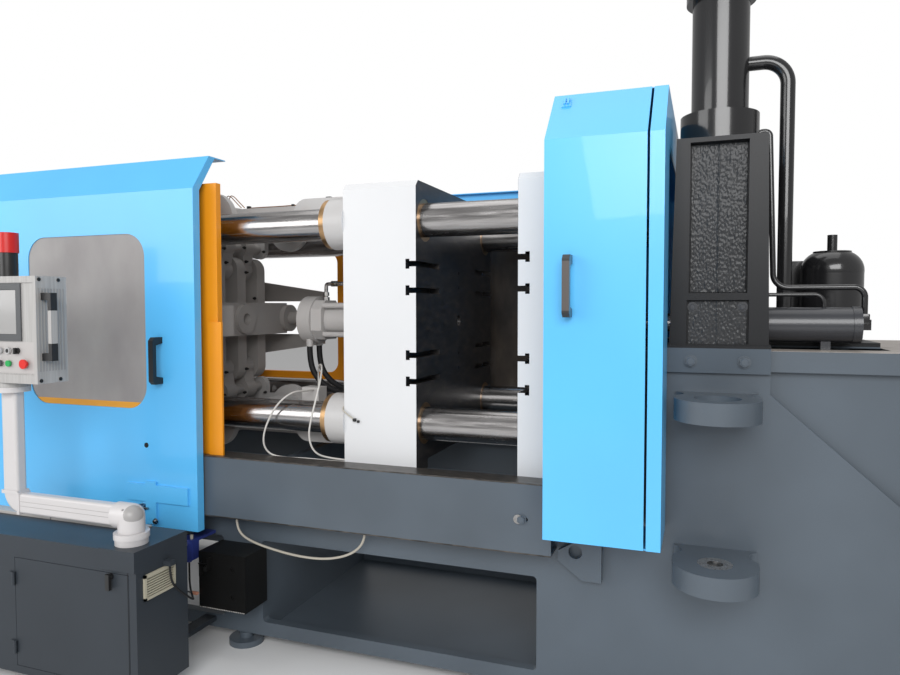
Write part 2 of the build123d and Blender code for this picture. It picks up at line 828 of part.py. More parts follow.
def rear_link():
    """The upper rear link: two cheeks joined by a web, on the tail platen's pin."""
    z = AXIS_Z + TOGGLE_H
    ear = (TAIL_PIN_X + EAR_ALONG, z - EAR_DROP)
    outline = [(TAIL_PIN_X, z - LINK_HALF), (TAIL_PIN_X, z + LINK_HALF)]
    outline += [(MAIN_PIN_X, z + LINK_HALF), (MAIN_PIN_X, z - LINK_HALF)]
    pieces = []
    for y0 in (CHEEK_IN, -CHEEK_OUT):
        y1 = y0 + CHEEK_T
        cheek = side_plate(outline, y0, y1)
        cheek += rod_y(y0, y1, TAIL_PIN_X, z, EYE_R) + rod_y(y0, y1, MAIN_PIN_X, z, MAIN_EYE_R)
        web = [(ear[0] - SHORT_EYE_R, ear[1]), (ear[0] - SHORT_EYE_R, z), (ear[0] + SHORT_EYE_R, z)]
        cheek += side_plate(web + [(ear[0] + SHORT_EYE_R, ear[1])], y0, y1) + rod_y(y0, y1, *ear, SHORT_EYE_R)
        pieces.append(cheek)
    web_x = TAIL_PIN_X + EYE_R + WEB_START
    pieces.append(block(web_x, web_x + WEB_LENGTH, -CHEEK_IN, CHEEK_IN,
                        z - LINK_HALF + WEB_LIFT, z + LINK_HALF))
    link = pieces[0] + pieces[1] + pieces[2]
    for x in (TAIL_PIN_X, MAIN_PIN_X):
        for side in (1, -1):
            outer = sorted((side * CHEEK_OUT, side * (CHEEK_OUT + BOSS_T)))
            link += rod_y(*outer, x, z, BOSS_R)
    return link + rod_y(-CHEEK_OUT, CHEEK_OUT, TAIL_PIN_X, z, PIN_R)


def front_link():
    """The upper front link, on the moving platen's pin."""
    z = AXIS_Z + TOGGLE_H
    half = FRONT_BODY_HALF
    thick = LINK_HALF - FRONT_BODY_IN
    link = block(MAIN_PIN_X, FRONT_PIN_X, -half, half, z - thick, z + thick)
    link += rod_y(-LANE_HALF, LANE_HALF, MAIN_PIN_X, z, EYE_R)
    link += rod_y(-half, half, FRONT_PIN_X, z, EYE_R)
    link += rod_y(-LANE_HALF, LANE_HALF, FRONT_PIN_X, z, PIN_R)
    wall = EYE_R + POCKET_WALL
    return link - block(MAIN_PIN_X + wall, FRONT_PIN_X - wall, -LUG_LANE / 2, LUG_LANE / 2, z, z + LINK_HALF)


def short_link():
    """The three upper short links on the crosshead's pin, with the cross pin at their far end."""
    z_pin = AXIS_Z + CROSS_PIN_H
    end = (TAIL_PIN_X + EAR_ALONG, AXIS_Z + TOGGLE_H - EAR_DROP)
    span = hypot(end[0] - CROSS_X, end[1] - z_pin)
    tilt = degrees(atan2(end[1] - z_pin, end[0] - CROSS_X))
    link = rod_y(-LANE_HALF, LANE_HALF, CROSS_X, z_pin, SHORT_PIN_R)
    for lane in (-1, 0, 1):
        y0 = lane * LUG_LANE - SHORT_T / 2
        y1 = y0 + SHORT_T
        bar = Pos(CROSS_X, lane * LUG_LANE, z_pin) * Rot(0, -tilt, 0) * Pos(span / 2, 0, 0)
        link += bar * Box(span, SHORT_T, SHORT_EYE_R * 1.5)
        link += rod_y(y0, y1, CROSS_X, z_pin, SHORT_EYE_R) + rod_y(y0, y1, *end, SHORT_EYE_R)
    return link + rod_y(-CHEEK_IN + LANE_GAP, CHEEK_IN - LANE_GAP, *end, SHORT_PIN_R)


def square_with_cut_corners(half, cut):
    """A square outline about the clamping axis with its corners cut off."""
    outline = []
    for sy, sz, first in ((1, 1, True), (-1, 1, False), (-1, -1, True), (1, -1, False)):
        along = (sy * (half - cut), AXIS_Z + sz * half)
        across = (sy * half, AXIS_Z + sz * (half - cut))
        outline += [across, along] if first else [along, across]
    return outline


def ejector_cylinder():
    """The ejector cylinder behind the moving platen, with its stay rods, fittings and tube block."""
    x0 = EJECT_BACK
    x1 = x0 + EJECT_FLANGE_T
    half = EJECT_HEAD / 2
    body = rod_x(x0, x1, 0, AXIS_Z, EJECT_FLANGE_DIA / 2)
    body += rod_x(x1, MOVING_BACK, 0, AXIS_Z, EJECT_BARREL_DIA / 2)
    body += end_plate(square_with_cut_corners(half, EJECT_HEAD_CUT), x1, x1 + EJECT_HEAD_T)
    for y in (HOSE_NEAR_Y, HOSE_FAR_Y):
        body += rod_z(HOSE_ROUTE[0][1], AXIS_Z - EJECT_BARREL_DIA / 2, HOSE_ROUTE[0][0], y, HOSE_STUB_R)
    body -= rod_x(x0 + EJECT_FLANGE_T / 2, MOVING_BACK + 1, 0, AXIS_Z, EJECT_BORE_DIA / 2)
    step = EJECT_STAY_PITCH / 2
    stays = [rod_x(x1 + EJECT_HEAD_T, MOVING_BACK, sy * step, AXIS_Z + sz * step, EJECT_STAY_DIA / 2)
             for sy in (1, -1) for sz in (1, -1)]
    sockets = [rod_x(HOSE_ROUTE[-1][0], MOVING_BACK, y, HOSE_ROUTE[-1][1], HOSE_STUB_R)
               for y in (HOSE_NEAR_Y, HOSE_FAR_Y)]
    return group([body, lube_block()] + stays + sockets)


def lube_block():
    """The distributor block on the moving platen's near lower lug, where the thin tubes start."""
    lug_top = AXIS_Z - TOGGLE_H + EYE_R
    return block(LUBE_LEFT, LUBE_RIGHT, -LANE_HALF, -LANE_HALF + CROSS_LUG_T, lug_top, LUBE_TOP) - rod_y(
        -LANE_HALF - 1, 0, FRONT_PIN_X, AXIS_Z - TOGGLE_H, EYE_R + BODY_GAP)


def ejector_rod():
    """The ejector's piston and rod, which runs through the moving platen."""
    x0 = EJECT_BACK + EJECT_FLANGE_T / 2 + SLIDE_GAP
    piston = rod_x(x0, x0 + EJECT_PISTON_T, 0, AXIS_Z, EJECT_BORE_DIA / 2 - RUN_FIT)
    return piston + rod_x(x0, DIE_X - EJECT_SHY, 0, AXIS_Z, EJECT_ROD_DIA / 2)


def levelling_feet(xs, ys):
    """Round levelling pads with a stub up to the frame."""
    feet = []
    for x in xs:
        for y in ys:
            pad = rod_z(0, FOOT_H / 2, x, y, FOOT_DIA / 2)
            feet.append(pad + rod_z(FOOT_H / 2, FOOT_H, x, y, FOOT_DIA / 5))
    return feet


def bed_side():
    """One side plate of the bed with its two windows."""
    outline = [(BED_LEFT, FOOT_H), (INJ_LEFT, FOOT_H), (INJ_LEFT, WAY_Z - WAY_T), (BED_LEFT, WAY_Z - WAY_T)]
    side = side_plate(outline, -BED_HALF, -BED_HALF + BED_WALL)
    for x0, x1 in (WINDOW_NEAR, WINDOW_FAR):
        side -= rounded_window(x0, x1, BED_WINDOW_BASE, BED_WINDOW_TOP, BED_WINDOW_R,
                               -BED_HALF - 1, -BED_HALF + BED_WALL + 1)
    return side


def bed_frame():
    """The welded bed under the clamping line, with its ways, its cross plates and floor pan."""
    inner = BED_HALF - BED_WALL
    side = bed_side()
    way = block(BED_LEFT, INJ_LEFT, -BED_HALF, -BED_HALF + WAY_W, WAY_Z - WAY_T, WAY_Z)
    pieces = [side, mirror_y(side), way, mirror_y(way)]
    for x0 in (BED_LEFT, WINDOW_NEAR[0] - BED_WALL, WINDOW_NEAR[1]):
        pieces.append(block(x0, x0 + BED_WALL, -inner, inner, FOOT_H, WAY_Z - WAY_T))
    pieces.append(block(WINDOW_NEAR[0], WINDOW_NEAR[1], -inner, inner, FOOT_H, FOOT_H + PAN_T))
    foot_x = (BED_LEFT + FOOT_DIA, WINDOW_NEAR[0] - 100, INJ_LEFT - FOOT_DIA)
    pieces += levelling_feet(foot_x, (-BED_HALF + FOOT_IN, BED_HALF - FOOT_IN))
    return group(pieces + levelling_feet((0,), (0,)))


def pivot_lug(top):
    """A round lug that stands out from the injection end's side plate."""
    lug = rod_z(top - LUG_T, top, LUG_X, LUG_Y, LUG_R)
    return lug + block(LUG_X - LUG_R, LUG_X + LUG_R, LUG_Y, -BED_HALF, top - LUG_T, top)


def lug_necks(top):
    """The air that narrows a lug's neck on both sides."""
    radius = LUG_OUT / 3
    air = []
    for side in (1, -1):
        x = LUG_X + side * LUG_R
        air.append(rod_z(top - LUG_T - 1, top + 1, x + side * radius / 2, LUG_Y + LUG_OUT * 0.62, radius))
    return air


def injection_plate():
    """The front plate of the injection end, with its slanted edge."""
    plate = [(INJ_LEFT, FOOT_H), (DIAG_X, FOOT_H), (DIAG_X, DIAG_Z), (NECK_R, NECK_BASE)]
    plate += [(NECK_R, NECK_TOP), (INJ_LEFT, NECK_TOP)]
    return side_plate(plate, -BED_HALF, -BED_HALF + SIDE_T)


def injection_web():
    """The recessed web behind the front plate, and the step and rail on top of it."""
    web_y = -BED_HALF + SIDE_T
    rail_base = RAIL_TOP - RAIL_H
    web_top = rail_base - RAIL_STEP
    web = block(INJ_LEFT, INJ_RIGHT, web_y, web_y + SIDE_T, FOOT_H, web_top)
    step = block(INJ_LEFT, INJ_RIGHT, -BED_HALF + SIDE_T, -RAIL_IN - RAIL_INSET, web_top, rail_base)
    rail = block(INJ_LEFT, INJ_RIGHT, -BED_HALF, -RAIL_IN, rail_base, RAIL_TOP)
    return [web, step, rail]


def lifting_eye():
    """The pad eye that stands out from the left edge of the injection end's side plate."""
    x = INJ_LEFT - EYE_OUT
    top = EYE_Z + EYE_TOP
    outline = [(INJ_LEFT + EYE_LAP, top), (x, top), (x - EYE_R_OUT, EYE_Z), (x - EYE_R_OUT, EYE_Z - EYE_TOP)]
    outline += [(x + EYE_OUT * 0.4, EYE_Z - EYE_DROP), (INJ_LEFT + EYE_LAP, EYE_Z - EYE_DROP)]
    eye = side_plate(outline, -BED_HALF - EYE_T, -BED_HALF)
    return eye - rod_y(-BED_HALF - EYE_T - 1, 0, x, EYE_Z, EYE_HOLE_D / 2)


def injection_front():
    """The front plate with the two pivot lugs welded on and their holes bored."""
    front = injection_plate()
    for top in (LUG_HIGH, LUG_LOW):
        front += pivot_lug(top)
        front -= lug_necks(top)
    front -= rod_z(LUG_HIGH - LUG_T - 1, LUG_HIGH + 1, LUG_X, LUG_Y, LUG_BORE_D / 2)
    front -= rod_z(LUG_LOW - BEARING_B, LUG_LOW + 1, LUG_X, LUG_Y, BEARING_D / 2)
    return front - rod_z(LUG_LOW - LUG_T - 1, LUG_LOW, LUG_X, LUG_Y, BEARING_SPLIT_R)


def injection_bed():
    """The injection end of the bed: plates, rails, deck, tracks, pivot lugs, lifting eye and pads."""
    inner = BED_HALF - 2 * SIDE_T
    web = injection_web()
    side = [injection_front(), mirror_y(injection_plate())] + web + [mirror_y(piece) for piece in web]
    air = []
    for y in (-HALF_PITCH, HALF_PITCH):
        air.append(rod_x(INJ_LEFT - 1, BAR_RIGHT + SEAM, y, AXIS_Z - HALF_PITCH, NUT_DIA / 2 + SEAM))
    pieces = [piece - air for piece in side]
    pieces.append(block(INJ_RIGHT - SIDE_T, INJ_RIGHT, -inner, inner, FOOT_H, RAIL_TOP - RAIL_H - RAIL_STEP))
    pieces.append(block(DECK_LEFT, INJ_RIGHT, -RAIL_IN, RAIL_IN, RAIL_TOP - SIDE_T, RAIL_TOP))
    pieces.append(block(INJ_LEFT, INJ_RIGHT, -inner, inner, FOOT_H, FOOT_H + SIDE_T))
    for y in (-TRACK_Y, TRACK_Y):
        pieces.append(block(INJ_LEFT, DECK_LEFT, y - SIDE_T, y + SIDE_T, FOOT_H + SIDE_T, TRACK_TOP))
    foot_x = (INJ_LEFT + 250, DIAG_X - FOOT_DIA, INJ_RIGHT - FOOT_DIA * 0.6)
    feet = levelling_feet(foot_x, (-BED_HALF + FOOT_IN, BED_HALF - FOOT_IN))
    return group(pieces + [lifting_eye()] + feet)


def bearing_outer():
    """The outer ring and shields of the sealed bearing in the lower lug."""
    ring = rod_z(LUG_LOW - BEARING_B, LUG_LOW, LUG_X, LUG_Y, BEARING_D / 2)
    return ring - rod_z(LUG_LOW - BEARING_B - 1, LUG_LOW + 1, LUG_X, LUG_Y, BEARING_SPLIT_R + BEARING_GAP)


def bearing_inner():
    """The inner ring of the sealed bearing."""
    ring = rod_z(LUG_LOW - BEARING_B + BEARING_GAP, LUG_LOW, LUG_X, LUG_Y, BEARING_SPLIT_R)
    return ring - rod_z(LUG_LOW - BEARING_B - 1, LUG_LOW + 1, LUG_X, LUG_Y, BEARING_BORE / 2)


def door_beam():
    """The channel on the operator's side, which carries the sliding door."""
    beam = block(BEAM_LEFT, BEAM_RIGHT, -BEAM_FACE, -BED_HALF, BEAM_BASE, BEAM_TOP)
    beam -= block(BEAM_LEFT - 1, BEAM_RIGHT + 1, -BEAM_FACE + BEAM_WEB, -BED_HALF + 1,
                  BEAM_BASE + BEAM_WEB, BEAM_TOP - BEAM_WEB)
    beam -= block(BEAM_LEFT - 1, BEAM_RIGHT + 1, -PLATEN_HALF - SLIDE_GAP, -BED_HALF + 1, WAY_Z, BEAM_TOP + 1)
    long, high = BEAM_SLOT_L / 2, BEAM_SLOT_H / 2
    return beam - rounded_window(BEAM_SLOT_X - long, BEAM_SLOT_X + long, BEAM_SLOT_Z - high, BEAM_SLOT_Z + high,
                                 BEAM_SLOT_R, -BEAM_FACE - 1, -BEAM_FACE + BEAM_WEB + 1)


def door_beams():
    """The channels on both sides of the bed."""
    front = door_beam()
    return group([front, mirror_y(front)])


def guard(right, sill, strip):
    """A guard frame beside the toggle, with one large window above its sill."""
    y0 = -GUARD_Y
    frame = block(GUARD_LEFT, right, y0, y0 + GUARD_T, BEAM_TOP, GUARD_TOP)
    window = (GUARD_LEFT + GUARD_SIDE_W, right - GUARD_SIDE_W)
    frame -= rounded_window(*window, BEAM_TOP + sill, GUARD_TOP - GUARD_HEAD, GUARD_R,
                            y0 - 1, y0 + GUARD_T + 1)
    if strip:
        edge = right + GUARD_STRIP_OUT
        frame += block(edge - GUARD_STRIP_W, edge, y0 - GUARD_STRIP_T, y0, BEAM_TOP, GUARD_STRIP_TOP)
    return frame


def toggle_guards():
    """The guards on both sides of the toggle."""
    front = guard(GUARD_RIGHT, GUARD_SILL, True)
    return group([front, mirror_y(guard(REAR_GUARD_RIGHT, REAR_GUARD_SILL, False))])


def door_panel():
    """The folded sliding door with its window opening, and the latch plate low on its face."""
    y0 = -DOOR_FACE
    t = DOOR_SHEET
    slope = y0 + DOOR_SLOPE
    skin = [(y0, DOOR_BASE), (y0, DOOR_CREASE), (slope, DOOR_TOP), (slope + DOOR_HOOD, DOOR_TOP)]
    skin += [(slope + DOOR_HOOD, DOOR_TOP - t), (slope + t, DOOR_TOP - t), (y0 + t, DOOR_CREASE - t)]
    skin += [(y0 + t, DOOR_BASE)]
    left = DOOR_RIGHT - DOOR_W
    door = end_plate(skin, left, DOOR_RIGHT)
    edge = [(y0, DOOR_BASE), (y0, DOOR_CREASE), (slope, DOOR_TOP), (slope + DOOR_RETURN, DOOR_TOP)]
    edge += [(y0 + DOOR_RETURN, DOOR_CREASE - t), (y0 + DOOR_RETURN, DOOR_BASE)]
    for x0 in (left, DOOR_RIGHT - t):
        door += end_plate(edge, x0, x0 + t)
    door += block(left, DOOR_RIGHT, y0, y0 + DOOR_RETURN, DOOR_BASE, DOOR_BASE + t)
    door -= rounded_window(PANE_LEFT, PANE_RIGHT, PANE_BASE, PANE_TOP, PANE_R, y0 - 1, y0 + t + 1)
    rail = (DOOR_RIGHT - LATCH_REACH, DOOR_RIGHT - LATCH_IN)
    latch = block(*rail, y0 - LATCH_T, y0, LATCH_RAIL_Z, LATCH_RAIL_Z + LATCH_RAIL_H)
    tongue = (DOOR_RIGHT - LATCH_TONGUE_X - LATCH_TONGUE_W, DOOR_RIGHT - LATCH_TONGUE_X)
    latch += block(*tongue, y0 - LATCH_T, y0, DOOR_BASE + LATCH_FOOT, LATCH_TOP)
    return group([door, latch] + door_shoes(left, DOOR_RIGHT, y0 + t, -BEAM_FACE + SHOE_LAP))


def door_shoes(left, right, y0, y1):
    """The two shoes by which a sliding door rests on its beam."""
    base = BEAM_TOP + BODY_GAP
    return [block(x - SHOE_L / 2, x + SHOE_L / 2, y0, y1, base, base + SHOE_H)
            for x in (left + SHOE_L, right - SHOE_L)]


def door_window():
    """The pane behind the door's window."""
    y0 = -DOOR_FACE + DOOR_SHEET
    lap = PANE_LAP
    return block(PANE_LEFT - lap, PANE_RIGHT + lap, y0, y0 + PANE_T, PANE_BASE - lap, PANE_TOP + lap)


def bridge_handle(x, face_y, z):
    """A bridge handle that stands out from a face towards the operator."""
    half = HANDLE_L / 2
    out = face_y - HANDLE_OUT
    inner = out + HANDLE_BAR
    grip = half - HANDLE_FOOT - HANDLE_WEB
    outline = [(face_y, z - half), (out + HANDLE_CUT, z - half), (out, z - half + HANDLE_CUT)]
    outline += [(out, z + half - HANDLE_CUT), (out + HANDLE_CUT, z + half), (face_y, z + half)]
    outline += [(face_y, z + half - HANDLE_FOOT), (inner, z + grip), (inner, z - grip)]
    outline += [(face_y, z - half + HANDLE_FOOT)]
    return end_plate(outline, x - HANDLE_W / 2, x + HANDLE_W / 2)


def rear_door():
    """The rear sliding door, a shallow tray of sheet."""
    y0 = DOOR_FACE
    t = DOOR_SHEET
    x1 = BEAM_RIGHT
    door = block(REAR_DOOR_LEFT, x1, y0 - DOOR_RETURN, y0, DOOR_BASE, REAR_DOOR_TOP)
    door -= block(REAR_DOOR_LEFT + t, x1 - t, y0 - DOOR_RETURN - 1, y0 - t, DOOR_BASE + t, REAR_DOOR_TOP - t)
    window = (REAR_DOOR_LEFT + REAR_PANE_IN, x1 - REAR_PANE_IN)
    door -= rounded_window(*window, PANE_BASE, PANE_TOP, PANE_R, y0 - t - 1, y0 + 1)
    return group([door] + door_shoes(REAR_DOOR_LEFT, x1, BEAM_FACE - SHOE_LAP, y0 - t))


def rear_window():
    """The pane inside the rear door's window."""
    y1 = DOOR_FACE - DOOR_SHEET
    lap = PANE_LAP
    x0 = REAR_DOOR_LEFT + REAR_PANE_IN - lap
    return block(x0, BEAM_RIGHT - REAR_PANE_IN + lap, y1 - PANE_T, y1, PANE_BASE - lap, PANE_TOP + lap)


def cover_wall(x0):
    """One end wall of the cover's upright side, and the head wall above the platen beside it."""
    face = -COVER_FACE
    slope = face + COVER_SLOPE
    t = COVER_SHEET
    wall = [(face + t, COVER_BASE + t), (face + t, COVER_CREASE - t), (slope + t, COVER_TOP - t)]
    wall += [(-COVER_BACK, COVER_TOP - t), (-COVER_BACK, COVER_BASE + t)]
    head = block(x0, x0 + t, -COVER_BACK, 0, PLATEN_TOP + COVER_CLEAR, COVER_TOP - t)
    return [end_plate(wall, x0, x0 + t), head]


def cover_half():
    """One side of the cover: end walls, top sheet, floor and the brackets to the platen."""
    t = COVER_SHEET
    slope = -COVER_FACE + COVER_SLOPE
    roof = [(slope, COVER_TOP), (0, COVER_TOP), (0, COVER_TOP - t), (slope + t, COVER_TOP - t)]
    pieces = cover_wall(COVER_LEFT) + cover_wall(COVER_RIGHT - t)
    pieces.append(end_plate(roof, COVER_LEFT, COVER_RIGHT))
    pieces.append(block(COVER_LEFT, COVER_RIGHT, -COVER_FACE + t, -COVER_BACK, COVER_BASE, COVER_BASE + t))
    for z in (COVER_BASE + COVER_STEP, COVER_CREASE - COVER_STEP):
        pieces.append(block(COVER_LEFT + t, COVER_LEFT + BRACKET_W, -COVER_BACK - BRACKET_LAP, -PLATEN_HALF,
                            z, z + BRACKET_W))
    return pieces


def cover_skin(x0, x1):
    """The folded face sheet of the cover between two stations."""
    t = COVER_SHEET
    face = -COVER_FACE
    slope = face + COVER_SLOPE
    skin = [(face, COVER_BASE), (face, COVER_CREASE), (slope, COVER_TOP)]
    skin += [(slope + t, COVER_TOP - t), (face + t, COVER_CREASE - t), (face + t, COVER_BASE)]
    return end_plate(skin, x0, x1)


def cover_shell():
    """The fixed cover over both sides and the top of the fixed platen."""
    split = COVER_RIGHT - COVER_STRIP
    door_air = cover_door_air(split)
    front = [piece - door_air for piece in cover_half()] + [cover_skin(split, COVER_RIGHT)]
    rear = cover_half() + [cover_skin(COVER_LEFT, COVER_RIGHT)]
    return group(front + [mirror_y(piece) for piece in rear])


def cover_door_air(split):
    """The air that the cover's door takes up, with a small gap round it."""
    face = -COVER_FACE
    slope = face + COVER_SLOPE
    depth = COVER_SHEET + COVER_GAP
    air = [(face - 1, COVER_BASE - 1), (face - 1, COVER_CREASE + 1), (slope - 1, COVER_TOP + 1)]
    air += [(slope + depth, COVER_TOP + 1), (slope + depth, COVER_TOP - depth)]
    air += [(face + depth, COVER_CREASE - COVER_GAP), (face + depth, COVER_BASE - 1)]
    return end_plate(air, COVER_LEFT - 1, split)


def cover_door():
    """The cover's hinged door, one sheet folded over the slanted top, with its bridge handle."""
    sheet = cover_skin(COVER_LEFT, COVER_RIGHT - COVER_STRIP - SEAM)
    return group([sheet, bridge_handle(COVER_HANDLE_X, -COVER_FACE, COVER_HANDLE_Z)])


def tower_side():
    """One upright of the injection frame, with its two recessed panels on the outside."""
    y0 = -BED_HALF
    y1 = y0 + TOWER_DEPTH
    base = RAIL_TOP + BODY_GAP
    foot_top = base + FOOT_T
    keeper_top = foot_top - FOOT_STEP
    outline = [(FOOT_LEFT + FOOT_STEP, foot_top), (FOOT_RIGHT - FOOT_STEP, foot_top)]
    outline += [(TOWER_RIGHT, TOWER_TOP), (TOWER_LEFT, TOWER_TOP)]
    side = side_plate(outline, y0, y1)
    side -= block(PANEL_L, PANEL_R, y0 - 1, y0 + PANEL_DEEP, PANEL_BASE, PANEL_TOP)
    side -= block(PANEL_L - FOOT_STEP, PANEL_R + FOOT_STEP, y0 - 1, y0 + PANEL_DEEP / 2,
                  LOW_PANEL_BASE, LOW_PANEL_TOP)
    side += block(FOOT_LEFT, FOOT_RIGHT, y0, y1, base, foot_top)
    side += block(FOOT_LEFT, FOOT_RIGHT, y0 - KEEPER_T, y0 - BODY_GAP, NECK_TOP + BODY_GAP, keeper_top)
    side += block(FOOT_LEFT, FOOT_RIGHT, y0 - KEEPER_T, y0 + 1, base, keeper_top)
    return side - rod_x(FOOT_LEFT - 1, FOOT_RIGHT + 1, -CARR_Y, AXIS_Z, CARR_ROD / 2 + SLIDE_GAP)


def injection_frame():
    """The injection frame: two uprights, the yoke between their tops, the bridge and the saddle plates."""
    side = tower_side()
    inner = BED_HALF - TOWER_DEPTH
    base = RAIL_TOP + BODY_GAP
    yoke = block(TOWER_LEFT + YOKE_IN, TOWER_RIGHT - YOKE_IN, -inner, inner, YOKE_BASE, TOWER_TOP)
    yoke -= rod_z(YOKE_BASE - 1, TOWER_TOP + 1, INJ_X, 0, COUPLING_D / 2 + SLIDE_GAP)
    bridge_top = BRIDGE_BASE + BRIDGE_T
    bridge = block(TOWER_LEFT + BRIDGE_IN, TOWER_RIGHT - BRIDGE_IN, -inner, inner, BRIDGE_BASE, bridge_top)
    bridge -= rod_z(BRIDGE_BASE - 1, bridge_top + 1, INJ_X, 0, PLUNGER_D / 2 + SLIDE_GAP)
    saddle = block(FOOT_RIGHT, SADDLE_RIGHT, -BED_HALF / 2, BED_HALF, base, base + SADDLE_T)
    strip = block(FOOT_RIGHT - SADDLE_LAP, FOOT_RIGHT, -inner, inner, base, base + SADDLE_T)
    return group([side, mirror_y(side), yoke, bridge, saddle, strip])


def injection_cylinder():
    """The upright injection cylinder on the yoke."""
    body = rod_z(TOWER_TOP, COLLAR_CYL_TOP, INJ_X, 0, COLLAR_CYL_D / 2)
    body += rod_z(COLLAR_CYL_TOP, BARREL_TOP, INJ_X, 0, BARREL_D / 2)
    body += rod_z(BARREL_TOP, BARREL_TOP + CAP_T, INJ_X, 0, CAP_D / 2)
    body -= rod_z(COLLAR_CYL_TOP, BARREL_TOP, INJ_X, 0, BARREL_D / 2 - BARREL_WALL)
    return body - rod_z(TOWER_TOP - 1, COLLAR_CYL_TOP + 1, INJ_X, 0, PLUNGER_D / 2 + RUN_FIT)


def plunger():
    """The injection plunger, its coupling and the piston above."""
    piston_top = BARREL_TOP - PISTON_DROP
    rod = rod_z(PLUNGER_BASE, piston_top, INJ_X, 0, PLUNGER_D / 2)
    rod += rod_z(YOKE_BASE - COUPLING_T, YOKE_BASE, INJ_X, 0, COUPLING_D / 2)
    return rod + rod_z(piston_top - PISTON_T, piston_top, INJ_X, 0, BARREL_D / 2 - BARREL_WALL - RUN_FIT)


def furnace():
    """The furnace casing with the round well for its crucible."""
    body = block(FURNACE_L, FURNACE_R, -FURNACE_HALF, FURNACE_HALF, TRACK_TOP + BODY_GAP, FURNACE_TOP)
    well_base = FURNACE_TOP - POT_DEPTH - WELL_UNDER
    return body - rod_z(well_base, FURNACE_TOP + 1, INJ_X, 0, POT_R + WELL_ROUND)


def crucible():
    """The melt pot, hung by its rim in the furnace."""
    base = FURNACE_TOP - POT_DEPTH
    rim_top = FURNACE_TOP + POT_RIM_T
    pot = rod_z(base, FURNACE_TOP, INJ_X, 0, POT_R) + rod_z(FURNACE_TOP, rim_top, INJ_X, 0, POT_R + POT_RIM)
    return pot - rod_z(base + POT_WALL, rim_top + 1, INJ_X, 0, POT_R - POT_WALL)


def gooseneck():
    """The gooseneck hung under the bridge with the plunger's sleeve bored in it, and its nozzle."""
    neck = block(INJ_X - NECK_HALF, INJ_X + NECK_HALF, -NECK_HALF, NECK_HALF, NECK_LOW, BRIDGE_BASE)
    neck -= rod_z(NECK_LOW + NECK_FLOOR, BRIDGE_BASE + 1, INJ_X, 0, PLUNGER_D / 2 + RUN_FIT)
    neck -= rod_x(INJ_X - NECK_HALF - 1, INJ_X, 0, AXIS_Z, NOZZLE_BORE / 2)
    return group([neck, nozzle()])


def nozzle():
    """The nozzle from the gooseneck into the fixed platen's bore."""
    root_x = INJ_X - NECK_HALF
    cone_x = NOZZLE_TIP_X + NOZZLE_CONE
    body = rod_x(cone_x, root_x, 0, AXIS_Z, NOZZLE_D / 2)
    tip = Pos(NOZZLE_TIP_X + NOZZLE_CONE / 2, 0, AXIS_Z) * Rot(0, -90, 0) * Cone(
        NOZZLE_D / 2, NOZZLE_D / 4, NOZZLE_CONE)
    return body + tip - rod_x(NOZZLE_TIP_X - 1, root_x + 1, 0, AXIS_Z, NOZZLE_BORE / 2)


def carriage_cylinders():
    """The two cylinders that draw the injection frame up to the fixed platen."""
    pieces = []
    end = CARR_X + CARR_L
    for side in (-1, 1):
        y = side * CARR_Y
        body = rod_x(CARR_X, end, y, AXIS_Z, CARR_D / 2)
        body += rod_x(end - CARR_END_T, end, y, AXIS_Z, CARR_D / 2 + CARR_CAP_OUT)
        body -= rod_x(CARR_X + CARR_HEAD, end - CARR_HEAD, y, AXIS_Z, CARR_BORE / 2)
        body -= rod_x(CARR_X - 1, CARR_X + CARR_HEAD + 1, y, AXIS_Z, CARR_ROD / 2 + RUN_FIT)
        foot_z = RAIL_TOP + BODY_GAP + (SADDLE_T if side > 0 else 0)
        half = CARR_FOOT_W / 2
        body += block(end - CARR_FOOT_X, end - CARR_FOOT_X + CARR_HEAD, y - half, y + half,
                      foot_z, AXIS_Z - CARR_D / 2 + CARR_FOOT_LAP)
        pieces.append(body)
    return group(pieces)


def carriage_rods():
    """The carriage cylinders' rods, fixed to the back of the fixed platen."""
    end = CARR_X + CARR_L - CARR_HEAD - CARRIAGE_STROKE / 8
    rods = []
    for side in (-1, 1):
        rod = rod_x(FIXED_T, end, side * CARR_Y, AXIS_Z, CARR_ROD / 2)
        rods.append(rod + rod_x(FIXED_T, FIXED_T + ROD_FLANGE_T, side * CARR_Y, AXIS_Z, CARR_ROD))
    return rods


def accumulator():
    """The accumulator bottle with its stem, standing on the saddle plate."""
    base = RAIL_TOP + BODY_GAP + SADDLE_T
    radius = ACCU_D / 2
    crown = radius * 0.45
    stem = radius * 0.16
    spring = ACCU_TOP - ACCU_DOME
    stem_top = ACCU_TOP + ACCU_STEM
    side = Polyline((0, base), (radius, base), (radius, spring))
    shoulder = ThreePointArc((radius, spring), (radius * 0.86, ACCU_TOP - ACCU_DOME * 0.34), (crown, ACCU_TOP))
    neck = Polyline((crown, ACCU_TOP), (stem, ACCU_TOP), (stem, stem_top), (0, stem_top), (0, base))
    bottle = Pos(ACCU_X, ACCU_Y, 0) * revolve(Plane.XZ * make_face(side + shoulder + neck), Axis.Z)
    back = ACCU_Y + radius
    plate = block(ACCU_X - PLATE_LEFT, ACCU_X + PLATE_RIGHT, back, back + PLATE_T, base, ACCU_TOP - PLATE_DROP)
    return group([bottle, plate])


def pipe(points, radii, radius):
    """A round pipe along straight runs joined by bends."""
    path = FilletPolyline(*points, radius=radii)
    start = Plane(origin=path @ 0, z_dir=path % 0)
    return sweep(start * Circle(radius), path)


